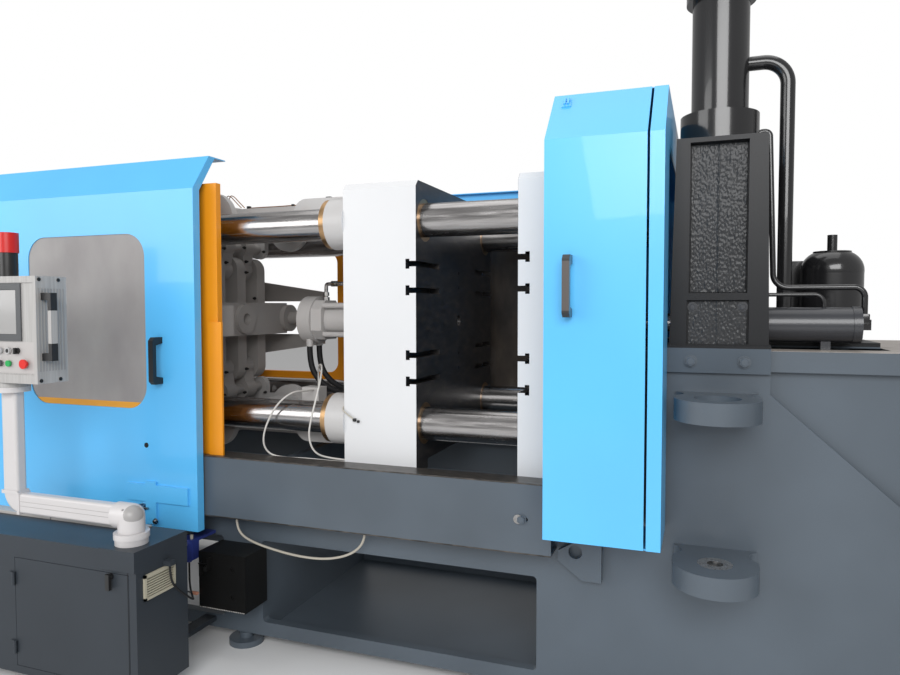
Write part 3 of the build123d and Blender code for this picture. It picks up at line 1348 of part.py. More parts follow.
def cord(name, points, diameter):
    """A hose, tube or cable along its route, with the bend at each corner from its runs and turn."""
    radii = []
    for before, corner, after in zip(points, points[1:], points[2:]):
        run_in = Vector(*corner) - Vector(*before)
        run_out = Vector(*after) - Vector(*corner)
        half_turn = radians(run_in.get_angle(run_out)) / 2
        radii.append(BEND_SHARE * min(run_in.length, run_out.length) / tan(half_turn))
    shape = pipe(points, radii, diameter / 2)
    length = shape.volume / Circle(diameter / 2).area
    print(name, "length", round(length), "bends", [round(radius) for radius in radii])
    return shape


def ejector_hose(name, y):
    """One hose from the ejector's flange down and across to the moving platen's back."""
    return cord(name, [(x, y, z) for x, z in HOSE_ROUTE], HOSE_D)


def hydraulic_pipes():
    """The large oil pipe from the injection cylinder and the two thin lines beside it."""
    base = RAIL_TOP + BODY_GAP + SADDLE_T
    block_top = AXIS_Z + MANIFOLD_UP
    x0 = INJ_X + BARREL_D / 2 - PIPE_SUNK
    main = pipe([(x0, 0, OIL_PIPE_Z), (OIL_PIPE_X, 0, OIL_PIPE_Z), (OIL_PIPE_X, 0, block_top - PIPE_SUNK)],
                OIL_PIPE_BEND, OIL_PIPE_D / 2)
    main -= rod_z(OIL_PIPE_Z - OIL_PIPE_D, OIL_PIPE_Z + OIL_PIPE_D, INJ_X, 0, BARREL_D / 2)
    half = MANIFOLD_HALF
    manifold = block(OIL_PIPE_X - half, OIL_PIPE_X + half, -CARR_D / 2, CARR_D / 2, base, block_top)
    return group([main + manifold, carriage_line(), carriage_thin_line()])


def carriage_line():
    """The line from the upright's top down to the carriage cylinder's end, with its fitting."""
    end = CARR_X + CARR_L
    port_x = end + LINE_D
    y = -CARR_Y + LINE_IN
    over_z = TOWER_TOP + LINE_OVER
    route = [(TOWER_RIGHT - LINE_START, y, TOWER_TOP), (TOWER_RIGHT - LINE_START, y, over_z)]
    route += [(TOWER_RIGHT + LINE_OUT, y, over_z), (TOWER_RIGHT + LINE_OUT + LINE_D, y, LINE_LOW)]
    route += [(port_x, y, LINE_LOW), (port_x, y, AXIS_Z)]
    half = FITTING_W / 2
    fitting = block(end, port_x + half, y - half, y + half, AXIS_Z - half, AXIS_Z + half)
    return pipe(route, LINE_BENDS, LINE_D / 2) + fitting


def carriage_thin_line():
    """The thin line from the upright to the top of the carriage cylinder."""
    x = CARR_X + CARR_L - THIN_BACK
    y = -CARR_Y
    route = [(TOWER_RIGHT + THIN_START, y, THIN_Z), (x, y, THIN_Z), (x, y, AXIS_Z + CARR_D / 2)]
    return pipe(route, THIN_BEND, LINE_D / 3)


def cabinet_sheets():
    """The cabinet's sheets, with the door's opening left between the front ones."""
    t = CAB_SHEET
    y0, y1 = -CAB_FRONT, -CAB_BACK
    z0, z1 = CAB_BASE + t, CAB_TOP - t
    right = CAB_RIGHT - CAB_POST + CAB_GAP
    left = CAB_DOOR_LEFT - CAB_GAP
    sill, head = CAB_DOOR_BASE - CAB_GAP, CAB_DOOR_TOP + CAB_GAP
    sheets = [block(CAB_LEFT, CAB_RIGHT, y0, y1, CAB_BASE, z0), block(CAB_LEFT, CAB_RIGHT, y0, y1, z1, CAB_TOP)]
    sheets.append(block(CAB_LEFT, CAB_RIGHT, y1 - t, y1, z0, z1))
    for x in (CAB_LEFT, CAB_RIGHT - t):
        sheets.append(block(x, x + t, y0 + t, y1 - t, z0, z1))
    for x0, x1 in ((CAB_LEFT, left), (right, CAB_RIGHT)):
        sheets.append(block(x0, x1, y0, y0 + t, z0, z1))
    for low, high in ((z0, sill), (head, z1)):
        sheets.append(block(left, right, y0, y0 + t, low, high))
    return sheets


def cabinet_hinge(z):
    """One barrel of the cabinet door's hinge with its leaf."""
    x = CAB_DOOR_LEFT - CAB_GAP
    top = z + CAB_HINGE_L
    leaf = block(x - CAB_LEAF, x - CAB_GAP, -CAB_FRONT - HINGE_R, -CAB_FRONT, z, top)
    return leaf + rod_z(z, top, x, -CAB_FRONT - HINGE_R - BODY_GAP, HINGE_R)


def cabinet_shell():
    """The electrical cabinet: its sheets, corner block, hinges, feet, bracket and cable gland."""
    corner = block(BLOCK_LEFT, CAB_RIGHT, -CAB_FRONT - BLOCK_OUT, -CAB_BACK, BLOCK_BASE, BLOCK_TOP)
    pieces = [sheet - corner for sheet in cabinet_sheets()] + [corner]
    pieces += [cabinet_hinge(z) for z in (CAB_BASE + CAB_HINGE_UP, BLOCK_BASE - CAB_HINGE_DOWN)]
    y0, y1 = -CAB_FRONT + CAB_FOOT_IN, -CAB_BACK - CAB_FOOT_IN
    for x in (CAB_LEFT + CAB_FOOT_END, CAB_RIGHT - CAB_FOOT_END - CAB_FOOT_W):
        pieces.append(block(x, x + CAB_FOOT_W, y0, y1, 0, CAB_BASE))
    stay_x = CAB_RIGHT - CAB_STAY_X
    stay_z = CAB_BASE + CAB_FOOT_IN
    pieces.append(block(stay_x, stay_x + CAB_FOOT_W, -CAB_BACK, -BED_HALF, stay_z, stay_z + CAB_STAY_T))
    lead_x, lead_y, lead_z = LEAD_ROUTE[-1]
    gland_y = (lead_y - GLAND_W / 2, lead_y + GLAND_W / 2)
    pieces.append(block(CAB_RIGHT, CAB_RIGHT + GLAND_OUT, *gland_y, lead_z, BLOCK_BASE))
    return group(pieces)


def cabinet_door():
    """The cabinet's hinged front door."""
    right = CAB_RIGHT - CAB_POST
    return block(CAB_DOOR_LEFT, right, -CAB_FRONT, -CAB_FRONT + CAB_SHEET, CAB_DOOR_BASE, CAB_DOOR_TOP)


def cabinet_latch():
    """The turning latch on the cabinet door."""
    half = LATCH_W / 2
    hub_y = -CAB_FRONT - LATCH_HUB
    latch = rod_y(hub_y, -CAB_FRONT - BODY_GAP, LATCH_X, LATCH_Z, LATCH_D / 2)
    return latch + block(LATCH_X - half, LATCH_X + half, hub_y - LATCH_GRIP, hub_y + 1,
                         LATCH_Z - LATCH_DROP, LATCH_Z + LATCH_D / 2)


def junction_box():
    """The black junction box on the bed's side."""
    box = block(BOX_LEFT, BOX_RIGHT, -BOX_FACE, -BED_HALF, BOX_BASE, BOX_TOP)
    for z in (BOX_BASE + BOX_HOLE_IN, BOX_TOP - BOX_HOLE_IN):
        box -= rod_y(-BOX_FACE - 1, -BOX_FACE + BOX_HOLE_DEEP, BOX_RIGHT - BOX_HOLE_IN, z, BOX_HOLE_R)
    return box


def limit_switch():
    """The door's limit switch on its bracket from the bed."""
    x0, x1 = SWITCH_X - SWITCH_W / 2, SWITCH_X + SWITCH_W / 2
    back = -DOOR_FACE + SWITCH_DEEP
    body = block(x0, x1, -DOOR_FACE, back, SWITCH_Z, SWITCH_TOP)
    plate = block(x0, x1, back, -BED_HALF, SWITCH_TOP - SWITCH_PLATE_T, SWITCH_TOP)
    lead_x, lead_y, lead_z = LEAD_ROUTE[0]
    return body + plate + rod_z(lead_z, SWITCH_Z, lead_x, lead_y, SWITCH_GLAND_R)


def switch_lever():
    """The switch's turning lever with its roller."""
    y1 = -DOOR_FACE - BODY_GAP
    hub_z = SWITCH_TOP - LEVER_HUB
    lever = rod_y(y1 - LEVER_T, y1, SWITCH_X, hub_z, LEVER_HUB * 0.7)
    lever += block(SWITCH_X - 5, SWITCH_X + 5, y1 - LEVER_T, y1 - 2, hub_z, hub_z + LEVER_L)
    return lever + rod_y(y1 - LEVER_T - 8, y1 - LEVER_T + 3, SWITCH_X, hub_z + LEVER_L, LEVER_HUB * 0.6)


def arm_base():
    """The flange and ring that the pendant arm turns in."""
    top = BLOCK_TOP + ARM_BASE_H
    base = rod_z(BLOCK_TOP, top, ARM_X, ARM_Y, ARM_BASE_D / 2 - ARM_BASE_STEP)
    return base + rod_z(BLOCK_TOP + ARM_BASE_H / 2, top, ARM_X, ARM_Y, ARM_BASE_D / 2)


def pendant_arm():
    """The swing arm of flat tube with its round elbow: up from the base, across and up to the pendant."""
    x, y = ARM_END
    top = PEND_BASE - NECK_T
    path = FilletPolyline((ARM_X, ARM_Y, ARM_Z), (x, y, ARM_Z), (x, y, top - ARM_RING_T), radius=ARM_BEND)
    start = Plane(origin=path @ 0, x_dir=(0, 1, 0), z_dir=path % 0)
    arm = sweep(start * RectangleRounded(ARM_W, ARM_D, ARM_CORNER), path)
    arm += Pos(ARM_X, ARM_Y, ARM_Z) * Sphere(ARM_ELBOW_R)
    arm += rod_x(ARM_X - ARM_ELBOW_R - ARM_SLEEVE, ARM_X, ARM_Y, ARM_Z, ARM_ELBOW_R)
    arm += rod_z(ARM_FOOT_Z, ARM_Z, ARM_X, ARM_Y, ARM_ELBOW_R)
    across = ARM_W / 2 + ARM_SLEEVE_OUT
    half = ARM_D / 2 + ARM_SLEEVE_OUT
    seam = (ARM_BEND - ARM_SLEEVE, ARM_BEND)
    arm += block(x + seam[0], x + seam[1], y - across, y + across, ARM_Z - half, ARM_Z + half)
    arm += block(x - half, x + half, y - across, y + across, ARM_Z + seam[0], ARM_Z + seam[1])
    return arm + rod_z(top - ARM_RING_T, top, x, y, NECK_R_OUT)


def pendant_case():
    """The operator's box with its raised screen frame and the handle on its side."""
    cx, cy = ARM_END
    half = PEND_W / 2
    left = cx - half + PEND_EDGE
    y0 = cy - PEND_D / 2
    case = block(cx - half, cx + half, y0, y0 + PEND_D, PEND_BASE, PEND_TOP)
    case -= block(left, cx + half - PEND_EDGE, y0 - 1, y0 + PEND_RECESS,
                  PEND_BASE + PEND_SILL, PEND_TOP - PEND_HEAD)
    case += block(left, cx + BEZEL_RIGHT, y0 - BEZEL_OUT, y0 + PEND_RECESS + 1, BEZEL_BASE, BEZEL_TOP)
    case -= block(left + BEZEL_RIM, cx + BEZEL_RIGHT - BEZEL_RIM, y0 - BEZEL_OUT - 1, y0 + 1,
                  BEZEL_BASE + BEZEL_RIM, BEZEL_TOP - BEZEL_RIM)
    case += rod_z(PEND_BASE - NECK_T + BODY_GAP, PEND_BASE, cx, cy, NECK_R_OUT)
    for dx, dz in control_places():
        case -= rod_y(y0 - 1, y0 + CONTROL_DEEP, cx + dx, PEND_BASE + dz, BUTTON_D / 2 - BUTTON_RIM)
    return case + pendant_grip(cx + half, cy - PEND_D / 4)


def pendant_grip(x0, y):
    """The upright grip bar on two feet beside the pendant."""
    half = GRIP_W / 2
    grip = block(x0 + GRIP_OUT - GRIP_BAR, x0 + GRIP_OUT, y - half, y + half, GRIP_BASE, GRIP_TOP)
    for z in (GRIP_BASE, GRIP_TOP - GRIP_W):
        grip += block(x0, x0 + GRIP_OUT, y - half + 1, y + half - 1, z, z + GRIP_W)
    return grip


def control_places():
    """Where the controls sit on the pendant's face, from its middle and its base."""
    upper = [(CONTROL_RIGHT - step * CONTROL_PITCH, CONTROL_HIGH) for step in range(CONTROL_COUNT)]
    lower = [(CONTROL_RIGHT - step * CONTROL_PITCH, CONTROL_LOW) for step in range(1, CONTROL_COUNT)]
    return upper + lower + [(STOP_X, CONTROL_LOW)]


def push_button(place, radius, out):
    """A push button with its stem."""
    cx, cy = ARM_END
    y0 = cy - PEND_D / 2 + PEND_RECESS
    x = cx + place[0]
    z = PEND_BASE + place[1]
    stem = rod_y(y0 - out, y0 + STEM_IN, x, z, STEM_R)
    return stem + rod_y(y0 - out - CAP_OUT, y0 - out + CAP_LAP, x, z, radius)


def selector_knob():
    """The turning selector with its bar grip."""
    cx, cy = ARM_END
    y0 = cy - PEND_D / 2 + PEND_RECESS
    x = cx + control_places()[0][0]
    z = PEND_BASE + control_places()[0][1]
    half = BUTTON_D / 2
    face = y0 - KNOB_OUT
    knob = rod_y(face, y0 + STEM_IN, x, z, STEM_R) + rod_y(face, y0 - 1, x, z, half)
    return knob + block(x - KNOB_BAR / 2, x + KNOB_BAR / 2, face - KNOB_OUT, face + 1, z - half, z + half)


def signal_lamps(shift):
    """A signal lamp on the pendant, its black base below and its lens above."""
    cx, cy = ARM_END
    lamp = rod_z(PEND_TOP, PEND_TOP + LAMP_BASE, cx + shift, cy, LAMP_D / 2 - LAMP_STEP)
    return lamp + rod_z(PEND_TOP + LAMP_BASE, PEND_TOP + LAMP_H, cx + shift, cy, LAMP_D / 2)


def push_button_cap(place):
    """A flush push button at one of the control places."""
    return push_button(place, BUTTON_D / 2, BUTTON_LOW)


CONTROLS = control_places()
SPARE_CONTROLS = CONTROLS[4:CONTROL_COUNT] + CONTROLS[CONTROL_COUNT + 1:-1]

NODES = {
    "bed_frame": bed_frame(),
    "injection_bed": injection_bed(),
    "door_beams": door_beams(),
    "toggle_guards": toggle_guards(),
    "fixed_platen": fixed_platen(),
    "tail_platen": tail_platen(),
    "tie_bars": group(tie_bars() + tie_bar_nuts() + carriage_rods()),
    "clamp_cylinder": clamp_cylinder(),
    "crosshead_guides": crosshead_guides(),
    "cover_shell": cover_shell(),
    "bearing_outer": bearing_outer(),
    "cabinet_shell": cabinet_shell(),
    "arm_base": arm_base(),
    "junction_box": junction_box(),
    "limit_switch": limit_switch(),
    "switch_lever": switch_lever(),
    "moving_platen": moving_platen(),
    "guide_bushes": guide_bushes(),
    "ejector_cylinder": ejector_cylinder(),
    "ejector_rod": ejector_rod(),
    "crosshead": crosshead(),
    "rear_link_upper": rear_link(),
    "rear_link_lower": mirror_axis(rear_link()),
    "front_link_upper": front_link(),
    "front_link_lower": mirror_axis(front_link()),
    "short_link_upper": short_link(),
    "short_link_lower": mirror_axis(short_link()),
    "door_panel": door_panel(),
    "door_window": door_window(),
    "door_handle": bridge_handle(DOOR_HANDLE_X, -DOOR_FACE, DOOR_HANDLE_Z),
    "rear_door": rear_door(),
    "rear_window": rear_window(),
    "cover_door": cover_door(),
    "pendant_arm": pendant_arm(),
    "pendant_case": group([pendant_case()] + [push_button_cap(place) for place in SPARE_CONTROLS]),
    "signal_lamps": group([signal_lamps(LAMP_RED), signal_lamps(LAMP_AMBER)]),
    "selector_knob": selector_knob(),
    "push_button_one": push_button_cap(CONTROLS[1]),
    "push_button_two": push_button_cap(CONTROLS[2]),
    "push_button_three": push_button_cap(CONTROLS[3]),
    "push_button_green": push_button_cap(CONTROLS[CONTROL_COUNT]),
    "emergency_stop": push_button(CONTROLS[-1], BUTTON_D * 0.75, BUTTON_OUT),
    "cabinet_door": cabinet_door(),
    "cabinet_latch": cabinet_latch(),
    "injection_frame": injection_frame(),
    "injection_cylinder": injection_cylinder(),
    "furnace": furnace(),
    "crucible": crucible(),
    "gooseneck": gooseneck(),
    "carriage_cylinders": carriage_cylinders(),
    "accumulator": accumulator(),
    "hydraulic_pipes": hydraulic_pipes(),
    "plunger": plunger(),
    "bearing_inner": bearing_inner(),
    "ejector_hose_near": ejector_hose("ejector_hose_near", HOSE_NEAR_Y),
    "ejector_hose_far": ejector_hose("ejector_hose_far", HOSE_FAR_Y),
    "lube_tube": cord("lube_tube", LUBE_ROUTE, TUBE_D),
    "platen_tube": cord("platen_tube", PLATEN_ROUTE, TUBE_D),
    "beam_tube": cord("beam_tube", BEAM_ROUTE, BUNDLE_D),
    "switch_lead": cord("switch_lead", LEAD_ROUTE, LEAD_D),
}

for name, shape in NODES.items():
    save(name, shape)
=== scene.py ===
import math

import bmesh
import bpy
from mathutils import Matrix, Vector, noise as field


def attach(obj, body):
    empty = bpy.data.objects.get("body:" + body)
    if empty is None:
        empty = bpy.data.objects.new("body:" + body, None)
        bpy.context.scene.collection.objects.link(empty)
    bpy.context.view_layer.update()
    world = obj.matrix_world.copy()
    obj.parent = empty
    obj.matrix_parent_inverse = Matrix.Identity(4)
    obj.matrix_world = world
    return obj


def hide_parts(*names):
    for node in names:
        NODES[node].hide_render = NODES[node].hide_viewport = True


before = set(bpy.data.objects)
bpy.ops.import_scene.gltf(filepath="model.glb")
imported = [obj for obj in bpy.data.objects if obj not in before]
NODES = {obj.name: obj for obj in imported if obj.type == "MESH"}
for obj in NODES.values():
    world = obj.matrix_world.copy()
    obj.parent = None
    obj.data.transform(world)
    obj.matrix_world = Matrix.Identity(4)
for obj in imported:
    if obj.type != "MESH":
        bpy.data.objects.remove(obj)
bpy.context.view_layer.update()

# Sizes and places in metres
PLATEN_SKIN = 0.503
PLATEN_SPAN = (0.890, 1.950)
PLATEN_REAR = -0.7303
SLOT_DEEP = 0.047
MOVING_FACE = -0.41
FRAME_FEET = 1.3415
RAIL_SKIN = 1.3343
BEAM_EDGES = (0.5920, 0.8425)
LENS_FOOT = 1.6965
LAMP_SPLIT = -1.98
PANE_SILL = 1.068
COVER_RISE = 0.184
COVER_RUN = 0.165
HANDLE_FRONT = -0.7758
GRIP_FRONT = -0.8020
GRIP_SPAN = (1.470, 1.628)
PENDANT_SIDE = -1.7090

# Paint colours
BLUE_PAINT = (0.098, 0.470, 0.860)
GREY_PAINT = (0.078, 0.098, 0.120)
BARE_BLACK = (0.012, 0.012, 0.012)
AMBER_LIGHT = (0.80, 0.25, 0.01)
RED_LIGHT = (0.52, 0.012, 0.010)

# The hoses' and tubes' routes, in metres
HOSE_ROUTE = [(-1.166, 1.290), (-1.166, 1.208), (-1.125, 1.130), (-1.045, 1.080), (-0.940, 1.062), (-0.840, 1.064),
              (-0.754, 1.064)]
LUBE_ROUTE = [(-1.000, -0.294, 1.110), (-1.000, -0.350, 1.110), (-1.022, -0.430, 1.118), (-1.062, -0.490, 1.070),
              (-1.102, -0.512, 0.985), (-1.122, -0.515, 0.905), (-1.100, -0.500, 0.850), (-1.025, -0.490, 0.838),
              (-0.925, -0.488, 0.843), (-0.825, -0.486, 0.840), (-0.730, -0.486, 0.840)]
PLATEN_ROUTE = [(-0.995, -0.258, 1.120), (-0.995, -0.258, 1.170), (-0.972, -0.300, 1.218), (-0.912, -0.372, 1.236),
                (-0.868, -0.448, 1.200), (-0.852, -0.510, 1.125), (-0.866, -0.534, 1.035), (-0.886, -0.532, 0.945),
                (-0.866, -0.518, 0.873), (-0.806, -0.478, 0.848), (-0.730, -0.478, 0.848)]
BEAM_ROUTE = [(-1.225, -0.560, 0.587), (-1.225, -0.560, 0.540), (-1.193, -0.560, 0.500), (-1.130, -0.560, 0.478),
              (-1.045, -0.560, 0.462), (-0.955, -0.560, 0.450), (-0.860, -0.560, 0.446), (-0.770, -0.560, 0.454),
              (-0.690, -0.560, 0.478), (-0.635, -0.560, 0.515), (-0.612, -0.560, 0.560), (-0.612, -0.560, 0.587)]
LEAD_ROUTE = [(-1.418, -0.633, 0.388), (-1.418, -0.633, 0.345), (-1.403, -0.650, 0.312), (-1.365, -0.690, 0.298),
              (-1.290, -0.765, 0.300), (-1.222, -0.840, 0.330), (-1.222, -0.900, 0.380), (-1.224, -0.945, 0.425),
              (-1.226, -0.962, 0.470), (-1.226, -0.962, 0.512)]


# Materials
def shader(name, color, rough=0.5, metal=0.0, **extra):
    """A plain principled material."""
    mat = bpy.data.materials.new(name)
    mat.use_nodes = True
    node = mat.node_tree.nodes["Principled BSDF"]
    node.inputs["Base Color"].default_value = (*color, 1)
    node.inputs["Roughness"].default_value = rough
    node.inputs["Metallic"].default_value = metal
    for key, value in extra.items():
        node.inputs[key.replace("_", " ")].default_value = value
    return mat


def object_coords(tree, stretch=(1, 1, 1)):
    """Object coordinates, stretched."""
    coords = tree.nodes.new("ShaderNodeTexCoord")
    mapping = tree.nodes.new("ShaderNodeMapping")
    mapping.inputs["Scale"].default_value = stretch
    tree.links.new(coords.outputs["Object"], mapping.inputs["Vector"])
    return mapping.outputs["Vector"]


def noise(tree, vector, scale, detail=3.0):
    """A noise texture's value."""
    node = tree.nodes.new("ShaderNodeTexNoise")
    node.inputs["Scale"].default_value = scale
    node.inputs["Detail"].default_value = detail
    tree.links.new(vector, node.inputs["Vector"])
    return node.outputs["Fac"]


def ramp(tree, value, stops):
    """A colour ramp over a value."""
    node = tree.nodes.new("ShaderNodeValToRGB")
    elements = node.color_ramp.elements
    while len(elements) < len(stops):
        elements.new(0.5)
    for element, (place, color) in zip(elements, stops):
        element.position = place
        element.color = (*color, 1)
    tree.links.new(value, node.inputs["Fac"])
    return node.outputs["Color"]


def mix(tree, factor, one, two):
    """One colour laid over another by a factor."""
    node = tree.nodes.new("ShaderNodeMix")
    node.data_type = "RGBA"
    tree.links.new(factor, node.inputs["Factor"])
    for socket, value in (("A", one), ("B", two)):
        target = [s for s in node.inputs if s.name == socket and s.type == "RGBA"][0]
        if isinstance(value, tuple):
            target.default_value = (*value, 1)
        else:
            tree.links.new(value, target)
    return [s for s in node.outputs if s.type == "RGBA"][0]


def math_node(tree, operation, value, other):
    """A maths node of one linked and one fixed value."""
    node = tree.nodes.new("ShaderNodeMath")
    node.operation = operation
    tree.links.new(value, node.inputs[0])
    if isinstance(other, (int, float)):
        node.inputs[1].default_value = other
    else:
        tree.links.new(other, node.inputs[1])
    return node.outputs[0]


def bump(tree, value, strength, distance=0.001):
    """A bump into the principled shader."""
    node = tree.nodes.new("ShaderNodeBump")
    node.inputs["Strength"].default_value = strength
    node.inputs["Distance"].default_value = distance
    tree.links.new(value, node.inputs["Height"])
    tree.links.new(node.outputs["Normal"], tree.nodes["Principled BSDF"].inputs["Normal"])


def paint(name, color, rough=0.35, vary=0.12, grain=0.15, coat=0.0):
    """Sprayed paint: a slightly uneven colour and a faint orange peel."""
    mat = shader(name, color, rough, 0.0, Coat_Weight=coat)
    tree = mat.node_tree
    space = object_coords(tree)
    broad = noise(tree, space, 1.7)
    low = tuple(c * (1 - vary) for c in color)
    high = tuple(min(1, c * (1 + vary)) for c in color)
    tree.links.new(ramp(tree, broad, [(0.3, low), (0.7, high)]), tree.nodes["Principled BSDF"].inputs["Base Color"])
    bump(tree, noise(tree, space, 190.0, 2.0), grain, 0.0006)
    return mat


def steel(name, color, rough, stretch, scale=30.0, spread=0.12):
    """Bare metal with fine streaks along one direction."""
    mat = shader(name, color, rough, 1.0)
    tree = mat.node_tree
    streak = noise(tree, object_coords(tree, stretch), scale, 4.0)
    dark = tuple(c * 0.72 for c in color)
    marks = ramp(tree, streak, [(0.35, dark), (0.65, color)])
    tree.links.new(marks, tree.nodes["Principled BSDF"].inputs["Base Color"])
    low, high = max(0.02, rough - spread), rough + spread
    shade = ramp(tree, streak, [(0.3, (low, low, low)), (0.7, (high, high, high))])
    tree.links.new(shade, tree.nodes["Principled BSDF"].inputs["Roughness"])
    return mat


def position(tree, axis):
    """One object coordinate of the point."""
    split = tree.nodes.new("ShaderNodeSeparateXYZ")
    tree.links.new(object_coords(tree), split.inputs["Vector"])
    return split.outputs[axis]


PLATEN_WHITE = (0.64, 0.645, 0.655)
BLUE = paint("cover_blue_paint", BLUE_PAINT, 0.32, 0.05, 0.12, 0.25)
YELLOW = paint("guard_yellow_paint", (0.83, 0.30, 0.009), 0.38, 0.06)
GREY = paint("machine_grey_paint", GREY_PAINT, 0.36, 0.16, 0.3)
DARK = paint("cabinet_dark_paint", (0.034, 0.041, 0.050), 0.42, 0.12, 0.2)
WHITE = paint("arm_white_paint", (0.56, 0.54, 0.54), 0.34, 0.04, 0.1)
RING_WHITE = paint("platen_white_paint", PLATEN_WHITE, 0.35, 0.03, 0.15)
TOGGLE = paint("toggle_grey_paint", (0.45, 0.435, 0.425), 0.45, 0.12, 0.5)
# A darker copy of the toggle grey for the crosshead, its guides and the short links: painted shade, not a paint of
# their own.
SHADED = paint("toggle_grey_painted_shade", (0.36, 0.34, 0.325), 0.5, 0.12, 0.6)
# A slightly paler, more even copy of the toggle grey for the upper links, which the top light reaches: painted
# light, not a paint of their own.
LIT_TOGGLE = paint("toggle_grey_painted_light", (0.46, 0.445, 0.435), 0.45, 0.06, 0.5)
GLOSS = paint("gloss_black_paint", (0.014, 0.014, 0.015), 0.20, 0.2, 0.05, 0.4)
CAST = paint("rough_cast_paint", (0.030, 0.031, 0.033), 0.42, 0.25, 1.0, 0.2)
CHARCOAL = paint("charcoal_paint", (0.036, 0.038, 0.044), 0.30, 0.15, 0.3, 0.2)
COPPER = steel("copper_line", (0.55, 0.30, 0.18), 0.35, (1, 1, 1), 40.0)
LINE_STEEL = steel("line_steel", (0.40, 0.39, 0.38), 0.30, (1, 1, 1), 50.0)
SALMON = shader("salmon_connector", (0.60, 0.27, 0.18), 0.5)
TRUNK = shader("trunking_strip", (0.46, 0.44, 0.42), 0.5)
INSERT = shader("arm_insert_grey", (0.33, 0.32, 0.315), 0.35)
BLACK = paint("box_black_paint", (0.007, 0.007, 0.007), 0.40, 0.3, 0.3)
CHROME = steel("bar_chrome", (0.45, 0.435, 0.43), 0.22, (1, 14, 14), 6.0, 0.07)
STEEL = steel("machined_steel", (0.48, 0.48, 0.48), 0.32, (1, 1, 1), 60.0)
BRONZE = steel("bronze_bush", (0.52, 0.33, 0.17), 0.38, (1, 1, 1), 25.0)
IRON = paint("melt_iron_scale", (0.045, 0.040, 0.036), 0.8, 0.4, 0.9)
PLASTIC = shader("black_plastic", BARE_BLACK, 0.42)
RUBBER = shader("black_rubber", (0.015, 0.015, 0.016), 0.6)
# Near-black; where it marks holes, gaps and grooves as flat pieces it is painted shade.
GAP = shader("dark_gap", (0.004, 0.004, 0.005), 0.8)
TUBE_WHITE = shader("nylon_tube", (0.55, 0.53, 0.50), 0.45)
TUBE_CREAM = shader("cream_tube", (0.42, 0.39, 0.33), 0.5)
BUTTON_RED = shader("button_red_cap", (0.62, 0.020, 0.015), 0.3)
BUTTON_GREEN = shader("button_green_cap", (0.015, 0.33, 0.08), 0.3)
SCREEN = shader("screen_glass", (0.34, 0.335, 0.33), 0.25)
PANEL = shader("pendant_panel", (0.43, 0.41, 0.40), 0.4)
RIBS = shader("pendant_rib_grey", (0.30, 0.295, 0.29), 0.5)
CAP = shader("button_grey_cap", (0.42, 0.42, 0.42), 0.3)
SWITCH = paint("switch_blue_paint", (0.035, 0.055, 0.26), 0.35, 0.08)
BEIGE = shader("filter_beige", (0.42, 0.39, 0.30), 0.55)


def inside(tree, tests):
    """One where every (axis, operation, level) test holds."""
    result = None
    for axis, operation, level in tests:
        test = math_node(tree, operation, position(tree, axis), level)
        result = test if result is None else math_node(tree, "MULTIPLY", result, test)
    return result


def overlay(mat, tests, color):
    """Another colour on the part of a material's surface where the tests hold."""
    tree = mat.node_tree
    target = tree.nodes["Principled BSDF"].inputs["Base Color"]
    base = target.links[0].from_socket if target.links else tuple(target.default_value)[:3]
    tree.links.new(mix(tree, inside(tree, tests), base, color), target)
    return mat


def pane_material():
    """Hazy sheet, worn to a mottled grey, with the guard's sill showing orange through its foot."""
    mat = shader("hazy_pane", (0.36, 0.345, 0.34), 0.38, 0.0, Alpha=0.86)
    mat.surface_render_method = "BLENDED"
    tree = mat.node_tree
    haze = ramp(tree, noise(tree, object_coords(tree, (1, 1, 0.6)), 3.2, 5.0),
                [(0.30, (0.27, 0.255, 0.255)), (0.70, (0.42, 0.405, 0.395))])
    tree.links.new(haze, tree.nodes["Principled BSDF"].inputs["Base Color"])
    return overlay(mat, [("Z", "LESS_THAN", PANE_SILL)], (0.80, 0.36, 0.03))


def rear_pane_material():
    """The rear pane behind the die space: near-black as painted shade, with lighter mottles as painted reflections.
    """
    mat = shader("rear_pane_painted_shade_and_reflections", (0.05, 0.045, 0.042), 0.25)
    tree = mat.node_tree
    # Near-black with paler patches: painted shade and painted reflections on the pane.
    shade_and_glints = ramp(tree, noise(tree, object_coords(tree, (1, 1, 0.5)), 4.0, 6.0),
                [(0.35, (0.020, 0.018, 0.018)), (0.55, (0.075, 0.062, 0.052)), (0.75, (0.17, 0.15, 0.135))])
    tree.links.new(shade_and_glints, tree.nodes["Principled BSDF"].inputs["Base Color"])
    return mat


def tower_material():
    """Machine grey paint, with everything above the feet turned near-black as painted shade."""
    mat = paint("injection_frame_paint", GREY_PAINT, 0.36, 0.16, 0.3)
    # Above the feet the uprights get a near-black grey: painted shade over the same machine grey.
    return overlay(mat, [("Z", "GREATER_THAN", FRAME_FEET)], (0.013, 0.0135, 0.015))


def beam_material():
    """Machine grey with flame-cut top and bottom edges."""
    mat = paint("door_beam_paint", GREY_PAINT, 0.36, 0.16, 0.3)
    tree = mat.node_tree
    edge = ramp(tree, noise(tree, object_coords(tree, (1, 5, 5)), 25.0, 5.0),
                [(0.35, (0.012, 0.011, 0.010)), (0.70, (0.085, 0.075, 0.066))])
    overlay(mat, [("Z", "GREATER_THAN", BEAM_EDGES[1])], edge)
    return overlay(mat, [("Z", "LESS_THAN", BEAM_EDGES[0])], edge)


